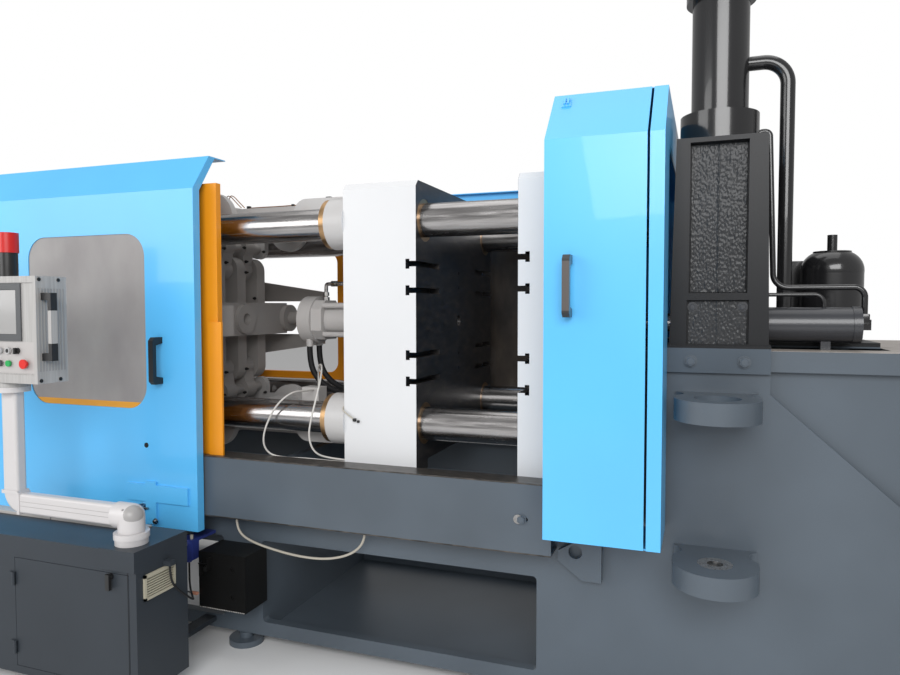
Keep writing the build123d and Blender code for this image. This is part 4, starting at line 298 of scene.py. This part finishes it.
def platen_material(name, face_x, outward):
    """White paint, with the machined die face and its T-slots left dark, and painted shade on the moving platen
    behind its rear face.
    """
    mat = paint(name, PLATEN_WHITE, 0.35, 0.03, 0.15)
    tree = mat.node_tree
    steel_marks = noise(tree, object_coords(tree, (1, 1.6, 5)), 9.0, 6.0)
    machined = ramp(tree, steel_marks, [(0.30, (0.012, 0.012, 0.013)), (0.55, (0.030, 0.027, 0.026)),
                                        (0.75, (0.060, 0.048, 0.040))])
    toward = "GREATER_THAN" if outward > 0 else "LESS_THAN"
    overlay(mat, [("X", toward, face_x - outward * 0.0006)], machined)
    within = [("X", toward, face_x - outward * SLOT_DEEP),
              ("Y", "GREATER_THAN", -PLATEN_SKIN), ("Y", "LESS_THAN", PLATEN_SKIN),
              ("Z", "GREATER_THAN", PLATEN_SPAN[0]), ("Z", "LESS_THAN", PLATEN_SPAN[1])]
    overlay(mat, within, machined)
    # Behind its rear face the moving platen, collars and lugs, gets a darker grey: painted shade.
    if outward > 0:
        overlay(mat, [("X", "LESS_THAN", PLATEN_REAR)], (0.47, 0.46, 0.455))
    return mat


def rail_material():
    """Machine grey, with the rail's top and the top edge left as rough steel."""
    mat = paint("injection_bed_paint", GREY_PAINT, 0.36, 0.16, 0.3)
    tree = mat.node_tree
    principled = tree.nodes["Principled BSDF"]
    base = principled.inputs["Base Color"].links[0].from_socket
    top = math_node(tree, "GREATER_THAN", position(tree, "Z"), RAIL_SKIN)
    rust = ramp(tree, noise(tree, object_coords(tree, (1, 4, 1)), 9.0, 6.0),
                [(0.3, (0.26, 0.23, 0.20)), (0.7, (0.52, 0.47, 0.43))])
    tree.links.new(mix(tree, top, base, rust), principled.inputs["Base Color"])
    return mat


def lamp_material():
    """Black lamp bases, a red lens and an amber one."""
    mat = shader("signal_lamp_body", BARE_BLACK, 0.3)
    tree = mat.node_tree
    x = math_node(tree, "GREATER_THAN", position(tree, "X"), LAMP_SPLIT)
    lens = mix(tree, x, AMBER_LIGHT, RED_LIGHT)
    z = math_node(tree, "GREATER_THAN", position(tree, "Z"), LENS_FOOT)
    tree.links.new(mix(tree, z, BARE_BLACK, lens), tree.nodes["Principled BSDF"].inputs["Base Color"])
    return mat


def cover_door_material():
    """Blue sheet with its black bridge handle."""
    mat = paint("cover_door_paint", BLUE_PAINT, 0.32, 0.05, 0.12, 0.25)
    overlay(mat, [("Y", "LESS_THAN", HANDLE_FRONT)], (0.022, 0.022, 0.023))
    grip = [("Y", "LESS_THAN", GRIP_FRONT), ("Z", "GREATER_THAN", GRIP_SPAN[0]), ("Z", "LESS_THAN", GRIP_SPAN[1])]
    return overlay(mat, grip, (0.085, 0.074, 0.070))


def pendant_material():
    """Light aluminium, darker control heads with pale caps, and the grip's black sockets."""
    mat = shader("pendant_aluminium", (0.40, 0.39, 0.38), 0.42)
    tree = mat.node_tree
    streak = noise(tree, object_coords(tree, (40, 40, 1)), 3.0, 2.0)
    tree.links.new(ramp(tree, streak, [(0.3, (0.34, 0.33, 0.32)), (0.7, (0.42, 0.41, 0.40))]),
                   tree.nodes["Principled BSDF"].inputs["Base Color"])
    controls = [("Y", "LESS_THAN", -1.1005), ("Z", "LESS_THAN", 1.345)]
    overlay(mat, controls, (0.035, 0.036, 0.038))
    bezel = [("Y", "LESS_THAN", -1.0965), ("Z", "GREATER_THAN", 1.3535), ("Z", "LESS_THAN", 1.5745),
             ("X", "LESS_THAN", -1.786)]
    overlay(mat, bezel, (0.070, 0.074, 0.078))
    socket = [("X", "GREATER_THAN", -1.7085)]
    for test in (("Z", "LESS_THAN", 1.345), ("Z", "GREATER_THAN", 1.470)):
        overlay(mat, socket + [test], (0.014, 0.014, 0.015))
    return mat


PANE = pane_material()
LOOKS = {
    "bed_frame": GREY, "injection_bed": rail_material(), "door_beams": beam_material(), "toggle_guards": YELLOW,
    "fixed_platen": platen_material("fixed_platen_paint", 0.0, -1), "tail_platen": RING_WHITE, "tie_bars": CHROME,
    "clamp_cylinder": TOGGLE, "crosshead_guides": SHADED, "cover_shell": BLUE,
    "bearing_outer": STEEL, "cabinet_shell": DARK, "arm_base": WHITE, "junction_box": BLACK, "limit_switch": SWITCH,
    "moving_platen": platen_material("moving_platen_paint", MOVING_FACE, 1), "guide_bushes": BRONZE,
    "ejector_cylinder": TOGGLE, "ejector_rod": CHROME, "crosshead": SHADED, "rear_link_upper": LIT_TOGGLE,
    "rear_link_lower": TOGGLE, "front_link_upper": LIT_TOGGLE, "front_link_lower": TOGGLE, "short_link_upper": SHADED,
    "short_link_lower": SHADED, "door_panel": BLUE, "door_window": PANE, "door_handle": PLASTIC, "rear_door": BLUE,
    "rear_window": rear_pane_material(), "cover_door": cover_door_material(), "pendant_arm": WHITE,
    "pendant_case": pendant_material(),
    "signal_lamps": lamp_material(), "selector_knob": PLASTIC, "push_button_one": CAP,
    "push_button_two": CAP, "push_button_three": CAP, "push_button_green": BUTTON_GREEN,
    "emergency_stop": BUTTON_RED, "cabinet_door": DARK, "cabinet_latch": PLASTIC, "switch_lever": STEEL,
    "injection_frame": tower_material(), "injection_cylinder": GLOSS, "furnace": GREY, "crucible": IRON,
    "gooseneck": IRON,
    "carriage_cylinders": CHARCOAL, "accumulator": GLOSS, "hydraulic_pipes": GLOSS, "plunger": CHROME,
    "bearing_inner": STEEL, "ejector_hose_near": RUBBER, "ejector_hose_far": RUBBER, "lube_tube": TUBE_WHITE,
    "platen_tube": TUBE_WHITE, "beam_tube": TUBE_CREAM, "switch_lead": RUBBER,
}
for look in (LOOKS["injection_frame"], DARK, BLACK, CAST, RUBBER):
    look.node_tree.nodes["Principled BSDF"].inputs["Specular IOR Level"].default_value = 0.25
for name, look in LOOKS.items():
    NODES[name].data.materials.clear()
    NODES[name].data.materials.append(look)


# Small pieces
def piece(name, build, mat, body, smooth=None):
    """A mesh object made by a function that fills a bmesh."""
    mesh = bpy.data.meshes.new(name)
    bm = bmesh.new()
    build(bm)
    bm.to_mesh(mesh)
    bm.free()
    obj = bpy.data.objects.new(name, mesh)
    bpy.context.scene.collection.objects.link(obj)
    mesh.materials.append(mat)
    if smooth:
        for poly in mesh.polygons:
            poly.use_smooth = True
        mesh.set_sharp_from_angle(angle=math.radians(smooth))
    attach(obj, body)
    return obj


def turn_to(axis):
    """The rotation that carries +Z to an axis."""
    return Vector((0, 0, 1)).rotation_difference(Vector(axis)).to_matrix().to_4x4()


def add_box(bm, low, high, bevel=0.0):
    """A box between two corners, with its edges broken."""
    size = [h - l for l, h in zip(low, high)]
    centre = [(l + h) / 2 for l, h in zip(low, high)]
    matrix = Matrix.Translation(centre) @ Matrix.Diagonal((*size, 1))
    verts = bmesh.ops.create_cube(bm, size=1, matrix=matrix)["verts"]
    if bevel:
        edges = list({e for v in verts for e in v.link_edges})
        bmesh.ops.bevel(bm, geom=edges, offset=bevel, segments=2, affect="EDGES", profile=0.6)


def add_cylinder(bm, base, axis, radius, length, sides=32, top=None):
    """A cylinder, cone or prism from a base point along an axis."""
    centre = Vector(base) + Vector(axis) * length / 2
    matrix = Matrix.Translation(centre) @ turn_to(axis)
    bmesh.ops.create_cone(bm, cap_ends=True, segments=sides, radius1=radius,
                          radius2=radius if top is None else top, depth=length, matrix=matrix)


def add_bolt(bm, place, axis, across, washer=True):
    """A hex bolt's head and its washer, on a face at a place."""
    axis = Vector(axis)
    base = Vector(place)
    if washer:
        add_cylinder(bm, base, axis, across * 0.72, across * 0.12, 28)
        base = base + axis * across * 0.12
    add_cylinder(bm, base, axis, across * 0.56, across * 0.42, 6)
    add_cylinder(bm, base + axis * across * 0.42, axis, across * 0.42, across * 0.05, 20, across * 0.36)


def bolts(name, places, axis, across, mat, body, washer=True):
    """Several bolt heads in one piece."""
    def build(bm):
        for place in places:
            add_bolt(bm, place, axis, across, washer)
    return piece(name, build, mat, body, 35)


def discs(name, places, axis, radius, depth, mat, body):
    """Several short round pieces in one."""
    def build(bm):
        for place in places:
            add_cylinder(bm, place, axis, radius, depth, 24)
    return piece(name, build, mat, body, 35)


def boxes(name, spans, mat, body, bevel=0.0):
    """Several boxes in one piece."""
    def build(bm):
        for low, high in spans:
            add_box(bm, low, high, bevel)
    return piece(name, build, mat, body, 35 if bevel else None)


def tube(name, points, radius, mat, body):
    """A round tube along a smooth curve through the points."""
    curve = bpy.data.curves.new(name, "CURVE")
    curve.dimensions = "3D"
    spline = curve.splines.new("NURBS")
    spline.points.add(len(points) - 1)
    for point, place in zip(spline.points, points):
        point.co = (*place, 1)
    spline.order_u = 3
    spline.use_endpoint_u = True
    spline.resolution_u = 8
    curve.bevel_depth = radius
    curve.bevel_resolution = 4
    curve.use_fill_caps = True
    obj = bpy.data.objects.new(name, curve)
    bpy.context.scene.collection.objects.link(obj)
    curve.materials.append(mat)
    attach(obj, body)
    return obj


def cord(node, points, radius, mat, body):
    """A hose, tube or lead that replaces its plain solid."""
    run = tube(node + "_run", points, radius, mat, body)
    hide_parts(node)
    return run


# Hoses, tubes and the switch's lead
for node, y in (("ejector_hose_near", -0.050), ("ejector_hose_far", 0.040)):
    cord(node, [(x, y, z) for x, z in HOSE_ROUTE], 0.014, RUBBER, "moving_platen")
cord("lube_tube", LUBE_ROUTE, 0.004, TUBE_WHITE, "moving_platen")
cord("platen_tube", PLATEN_ROUTE, 0.004, TUBE_WHITE, "moving_platen")
cord("beam_tube", BEAM_ROUTE, 0.005, TUBE_CREAM, "machine_frame")
cord("switch_lead", LEAD_ROUTE, 0.004, RUBBER, "machine_frame")


# Injection frame and bed
bolts("tower_foot_bolts", [(x, -0.518, 1.297) for x in (0.612, 0.782)], (0, -1, 0), 0.030, GREY, "injection_unit")
bolts("tower_panel_bolts", [(x, -0.4829, 1.482) for x in (0.615, 0.775)], (0, -1, 0), 0.022, CHARCOAL,
      "injection_unit")
discs("door_face_plug", [(-1.617, -0.655, 0.884)], (0, -1, 0), 0.011, 0.0016, GAP, "front_door")
bolts("beam_bolt", [(0.042, -0.605, 0.715)], (0, -1, 0), 0.026, GREY, "machine_frame")


def rough_sheet(name, low, high, y, depth, mat, body):
    """A rough cast skin with a wavy ridge down its middle, on a panel's floor."""
    step = 0.0026
    across = round((high[0] - low[0]) / step)
    up = round((high[1] - low[1]) / step)

    def build(bm):
        rows = []
        for j in range(up + 1):
            z = low[1] + (high[1] - low[1]) * j / up
            ridge = (low[0] + high[0]) / 2 + 0.004 * field.noise(Vector((3.1, 0, z * 14)))
            row = []
            for i in range(across + 1):
                x = low[0] + (high[0] - low[0]) * i / across
                lift = 0.5 + 0.5 * field.noise(Vector((x * 170, 0, z * 95)))
                lift += 0.6 * math.exp(-((x - ridge) / 0.003) ** 2)
                edge = i in (0, across) or j in (0, up)
                row.append(bm.verts.new((x, y if edge else y - depth * lift, z)))
            rows.append(row)
        for j in range(up):
            for i in range(across):
                bm.faces.new((rows[j][i], rows[j][i + 1], rows[j + 1][i + 1], rows[j + 1][i]))
    return piece(name, build, mat, body)


rough_sheet("upper_panel_skin", (0.604, 1.530), (0.786, 2.038), -0.4664, 0.0026, CAST, "injection_unit")
rough_sheet("lower_panel_skin", (0.600, 1.348), (0.790, 1.503), -0.4834, 0.0024, CAST, "injection_unit")
discs("panel_bolt_sockets", [(x, -0.4842, 1.482) for x in (0.615, 0.775)], (0, -1, 0), 0.017, 0.003, CHARCOAL,
      "injection_unit")
discs("accumulator_flange", [(1.132, 0.150, 1.694)], (0, 0, 1), 0.070, 0.010, GLOSS, "injection_unit")
boxes("cylinder_elbow", [((1.153, -0.334, 1.421), (1.181, -0.286, 1.458))], GLOSS, "injection_unit", 0.004)
discs("fixed_side_pin", [(0.030, -0.606, 0.715)], (0, -1, 0), 0.017, 0.004, LINE_STEEL, "machine_frame")


# Cover's hasp and the door's latch
def on_slope(x, along, out):
    """A point on the cover door's slanted face, so far up it from its crease and out from it."""
    slope = math.atan2(COVER_RISE, COVER_RUN)
    y = -0.775 + along * math.cos(slope) - out * math.sin(slope)
    return (x, y, 2.026 + along * math.sin(slope) + out * math.cos(slope))


def hasp(bm):
    """A folded clip of two leaves with its wire loop."""
    tilt = Matrix.Rotation(math.atan2(COVER_RISE, COVER_RUN) - math.pi / 2, 4, "X")
    for x, along, size in ((0.206, 0.185, (0.030, 0.005, 0.026)), (0.206, 0.212, (0.026, 0.004, 0.016)),
                           (0.200, 0.198, (0.006, 0.012, 0.034)), (0.212, 0.198, (0.006, 0.012, 0.034))):
        place = Matrix.Translation(on_slope(x, along, size[1] / 2))
        bmesh.ops.create_cube(bm, size=1, matrix=place @ tilt @ Matrix.Diagonal((*size, 1)))


piece("cover_hasp", hasp, BLUE, "cover_door")
bolts("door_latch_bolt", [(-1.565, -0.6652, 0.558)], (0, -1, 0), 0.018, LINE_STEEL, "front_door")
discs("door_latch_pin", [(-1.632, -0.6552, 0.618)], (0, -1, 0), 0.008, 0.026, LINE_STEEL, "front_door")
boxes("door_latch_bits", [((-1.664, -0.676, 0.608), (-1.600, -0.668, 0.616)),
                          ((-1.646, -0.680, 0.604), (-1.634, -0.656, 0.628))], LINE_STEEL, "front_door", 0.001)


# Toggle's lubrication lines and the ejector's top pipe
tube("ejector_top_pipe", [(-1.101, 0, 1.512), (-1.101, 0, 1.575), (-1.099, 0, 1.594), (-1.080, 0, 1.596),
                          (-0.730, 0, 1.596)], 0.009, LINE_STEEL, "moving_platen")


def pipe_nuts(bm):
    """Hexagon nuts and ferrules on the ejector's pipe."""
    add_cylinder(bm, (-1.101, 0, 1.515), (0, 0, 1), 0.017, 0.016, 6)
    add_cylinder(bm, (-1.101, 0, 1.537), (0, 0, 1), 0.015, 0.018, 6)
    add_cylinder(bm, (-1.070, 0, 1.596), (1, 0, 0), 0.014, 0.030, 20)
    add_cylinder(bm, (-0.746, 0, 1.596), (1, 0, 0), 0.016, 0.016, 6)


piece("ejector_pipe_nuts", pipe_nuts, LINE_STEEL, "moving_platen", 35)
tube("link_copper_line", [(-1.400, -0.205, 1.953), (-1.330, -0.205, 1.954), (-1.230, -0.205, 1.953),
                          (-1.150, -0.205, 1.955), (-1.075, -0.205, 1.953)], 0.0025, COPPER, "front_link_upper")
tube("lug_copper_line", [(-0.994, -0.258, 1.962), (-0.930, -0.258, 1.968), (-0.860, -0.258, 1.966),
                         (-0.790, -0.258, 1.968), (-0.732, -0.258, 1.966)], 0.0025, COPPER, "moving_platen")
for shift in (0.0, 0.018):
    loop = [(-1.530, -0.205, 1.985), (-1.520, -0.212, 2.018), (-1.492, -0.216, 2.012), (-1.468, -0.212, 1.985),
            (-1.440, -0.205, 1.956)]
    tube("boss_copper_loop_%d" % round(shift * 1000), [(x + shift, y, z) for x, y, z in loop], 0.0022, COPPER,
         "front_link_upper")
boxes("link_fittings", [((-1.405, -0.213, 1.950), (-1.389, -0.197, 1.962)),
                        ((-1.160, -0.211, 1.950), (-1.148, -0.199, 1.960))], PLASTIC, "front_link_upper", 0.001)
boxes("lug_fitting", [((-0.946, -0.266, 1.960), (-0.922, -0.250, 1.975))], PLASTIC, "moving_platen", 0.001)


def nipples(name, places, axis, body):
    """Black grease fittings on a face."""
    def build(bm):
        for place in places:
            add_cylinder(bm, place, axis, 0.008, 0.010, 6)
            add_cylinder(bm, Vector(place) + Vector(axis) * 0.010, axis, 0.0045, 0.009, 12)
    return piece(name, build, PLASTIC, body, 35)


nipples("upper_link_nipples", [(-1.664, -0.041, 1.783), (-1.667, 0.131, 1.799)], (0, -1, 0), "short_link_upper")
nipples("upper_knuckle_nipples", [(-1.6864, -0.0135, 1.713), (-1.684, 0.153, 1.727)], (1, 0, 0), "short_link_upper")
nipples("rear_link_nipple_high", [(-1.662, 0.298, 1.789)], (0, -1, 0), "rear_link_upper")
nipples("rear_link_nipple_low", [(-1.663, 0.298, 1.005)], (0, -1, 0), "rear_link_lower")
nipples("lower_link_nipples", [(-1.677, -0.041, 1.027), (-1.677, 0.131, 1.023)], (0, -1, 0), "short_link_lower")
nipples("crosshead_nipples", [(-1.660, 0.119, 1.667), (-1.661, -0.0586, 1.148),
                              (-1.6605, 0.1114, 1.152)], (1, 0, 0), "crosshead")
nipples("crosshead_side_nipple", [(-1.6717, 0.222, 1.530)], (0, -1, 0), "crosshead")
tube("platen_stub", [(-0.7385, -0.490, 1.075), (-0.7385, -0.512, 1.064), (-0.712, -0.515, 1.046),
                     (-0.690, -0.513, 1.030), (-0.682, -0.513, 1.024)], 0.003, TUBE_CREAM, "moving_platen")
boxes("platen_stub_fittings", [((-0.686, -0.518, 1.017), (-0.674, -0.505, 1.029)),
                               ((-0.668, -0.516, 1.012), (-0.660, -0.505, 1.022))], PLASTIC, "moving_platen", 0.001)
# Flat near-black discs just proud of the die face: painted shade standing for the holes.
discs("die_face_holes", [(-0.4105, 0, z) for z in (1.205, 1.270, 1.570, 1.635)], (1, 0, 0), 0.007, 0.0008, GAP,
      "moving_platen")


# Cabinet
def louvres(bm):
    """The filter's frame and its slats, drawn as straight boxes."""
    low, high = (-1.077, 0.415), (-0.920, 0.508)
    rim = 0.010
    for span in (((low[0], low[1]), (low[0] + rim, high[1])), ((high[0] - rim, low[1]), (high[0], high[1])),
                 ((low[0], low[1]), (high[0], low[1] + rim)), ((low[0], high[1] - rim), (high[0], high[1]))):
        add_box(bm, (-1.2460, span[0][0], span[0][1]), (-1.2365, span[1][0], span[1][1]))
    for row in range(8):
        z = low[1] + 0.0135 + row * 0.0093
        add_box(bm, (-1.2460, low[0] + rim, z), (-1.2385, high[0] - rim, z + 0.0048))


piece("cabinet_filter", louvres, BEIGE, "machine_frame")
# A near-black sheet just behind the slats: painted shade inside the filter.
boxes("filter_painted_shade", [((-1.2459, -1.067, 0.425), (-1.2452, -0.930, 0.498))], GAP, "machine_frame")
boxes("cabinet_trunking", [((-2.300, -0.905, 0.600), (-1.896, -0.850, 0.612)),
                           ((-1.890, -0.905, 0.600), (-1.412, -0.850, 0.612))], TRUNK, "machine_frame", 0.001)
# A thin near-black strip on the cabinet post: painted shade in its groove.
boxes("cabinet_post_groove", [((-1.2855, -1.1106, 0.066), (-1.2830, -1.1099, 0.528))], GAP, "machine_frame")


# Junction box and switch
boxes("box_bracket", [((-1.333, -0.676, 0.350), (-1.327, -0.655, 0.408)),
                      ((-1.333, -0.680, 0.404), (-1.285, -0.674, 0.409)),
                      ((-1.290, -0.680, 0.380), (-1.284, -0.655, 0.432))], BLACK, "machine_frame", 0.001)
discs("box_bracket_knob", [(-1.306, -0.655, 0.382)], (0, -1, 0), 0.011, 0.014, PLASTIC, "machine_frame")


def weld_row(bm):
    """A row of small weld beads along the box's lower edge."""
    for bead in range(26):
        x = -1.344 + bead * 0.0088
        size = 0.0022 + 0.0010 * field.noise(Vector((x * 300, 0, 0)))
        place = Matrix.Translation((x, -0.6555, 0.2125))
        bmesh.ops.create_uvsphere(bm, u_segments=8, v_segments=6, radius=size, matrix=place)


piece("box_weld_beads", weld_row, TUBE_WHITE, "machine_frame", 60)
tube("switch_wire", [(-1.430, -0.632, 0.392), (-1.440, -0.640, 0.345), (-1.444, -0.660, 0.300),
                     (-1.420, -0.675, 0.276), (-1.381, -0.664, 0.270)], 0.0028, RUBBER, "machine_frame")
boxes("switch_wire_connector", [((-1.383, -0.671, 0.2645), (-1.3492, -0.657, 0.2755))], SALMON,
      "machine_frame", 0.002)
discs("switch_pins", [(x, -0.636, 0.490) for x in (-1.436, -1.400)], (0, 0, 1), 0.007, 0.018, TUBE_CREAM,
      "machine_frame")
boxes("switch_ribs", [((-1.4535 + i * 0.009, -0.6565, 0.415), (-1.4500 + i * 0.009, -0.6548, 0.478))
                      for i in range(8)], SWITCH, "machine_frame", 0.0004)


# Pendant arm
def arm_insert(bm):
    """The rounded insert in the elbow."""
    away = Vector((0.80, -0.50, 0.33)).normalized()
    centre = Vector((-1.338, -1.032, 0.707)) + away * 0.0048
    bmesh.ops.create_uvsphere(bm, u_segments=40, v_segments=24, radius=0.0450, matrix=Matrix.Translation(centre))


piece("arm_elbow_insert", arm_insert, INSERT, "pendant_arm", 60)
for z in (0.698, 0.716):
    boxes("arm_groove_%d" % round(z * 1000), [((-1.874, -1.0556, z), (-1.402, -1.0548, z + 0.0016))], INSERT,
          "pendant_arm")
discs("arm_screws", [(-1.316, -1.0685, 0.685), (-1.342, -1.0670, 0.738)], (0.3, -0.95, 0), 0.004, 0.0035, LINE_STEEL,
      "pendant_arm")


# Pendant
def pendant_side(bm):
    """The ribbed right side between the flat caps."""
    for row in range(9):
        y = -1.0900 + row * 0.0135
        add_box(bm, (PENDANT_SIDE, y, 1.238), (-1.7078, y + 0.0065, 1.554))


piece("pendant_side_ribs", pendant_side, RIBS, "pendant_case")
discs("pendant_side_screws", [(-1.7092, y, z) for y in (-1.085, -1.000) for z in (1.203, 1.588)], (1, 0, 0),
      0.007, 0.003, PLASTIC, "pendant_case")
for name, x, z in (("one", -1.856, 1.316), ("two", -1.900, 1.316), ("three", -1.944, 1.316)):
    discs("button_%s_face" % name, [(x, -1.1068, z)], (0, -1, 0), 0.0078, 0.0008, PLASTIC, "push_button_" + name)
boxes("pendant_screen", [((-2.106, -1.1010, 1.380), (-1.812, -1.0985, 1.548))], SCREEN, "pendant_case", 0.001)
boxes("pendant_panel_sheet", [((-2.127, -1.0957, 1.230), (-1.727, -1.0946, 1.350))], PANEL, "pendant_case")


# Stage, light and camera
def stage_piece(name, verts, faces, mat):
    mesh = bpy.data.meshes.new(name)
    mesh.from_pydata(verts, [], faces)
    obj = bpy.data.objects.new(name, mesh)
    bpy.context.scene.collection.objects.link(obj)
    mesh.materials.append(mat)
    return obj


FLOOR = shader("studio_floor", (0.80, 0.80, 0.80), 0.7)
stage_piece("studio_floor", [(-30, -30, 0), (30, -30, 0), (30, 30, 0), (-30, 30, 0)], [(0, 1, 2, 3)], FLOOR)


def soft_light(name, place, target, size, energy):
    """A large soft area light."""
    data = bpy.data.lights.new(name, "AREA")
    data.shape = "RECTANGLE"
    data.size, data.size_y = size
    data.energy = energy
    obj = bpy.data.objects.new(name, data)
    obj.location = place
    obj.rotation_euler = (Vector(target) - Vector(place)).to_track_quat("-Z", "Y").to_euler()
    bpy.context.scene.collection.objects.link(obj)
    return obj


soft_light("key", (1.5, -6.5, 4.0), (-0.5, 0, 1.2), (5, 3), 335)
soft_light("fill", (-5.0, -5.0, 3.0), (-1.0, 0, 1.2), (4, 3), 125)
soft_light("top", (-0.5, 0.5, 6.0), (-0.5, 0, 1.0), (6, 4), 80)

world = bpy.data.worlds.new("studio")
bpy.context.scene.world = world
world.use_nodes = True
tree = world.node_tree
back = tree.nodes["Background"]
back.inputs["Color"].default_value = (1, 1, 1, 1)
path = tree.nodes.new("ShaderNodeLightPath")
seen = math_node(tree, "MAXIMUM", path.outputs["Is Camera Ray"], path.outputs["Is Transmission Ray"])
level = tree.nodes.new("ShaderNodeMapRange")
level.inputs["To Min"].default_value = 0.44
level.inputs["To Max"].default_value = 1.0
tree.links.new(seen, level.inputs["Value"])
tree.links.new(level.outputs["Result"], back.inputs["Strength"])

cam_data = bpy.data.cameras.new("camera")
cam_data.sensor_width = 36
cam_data.lens = 28.27
cam_data.clip_end = 200
cam = bpy.data.objects.new("camera", cam_data)
cam.location = (0.665, -3.065, 1.483)
cam.rotation_euler = (1.52733, 0.00088, 0.34963)
bpy.context.scene.collection.objects.link(cam)
bpy.context.scene.camera = cam
bpy.context.scene.view_settings.view_transform = "Standard"
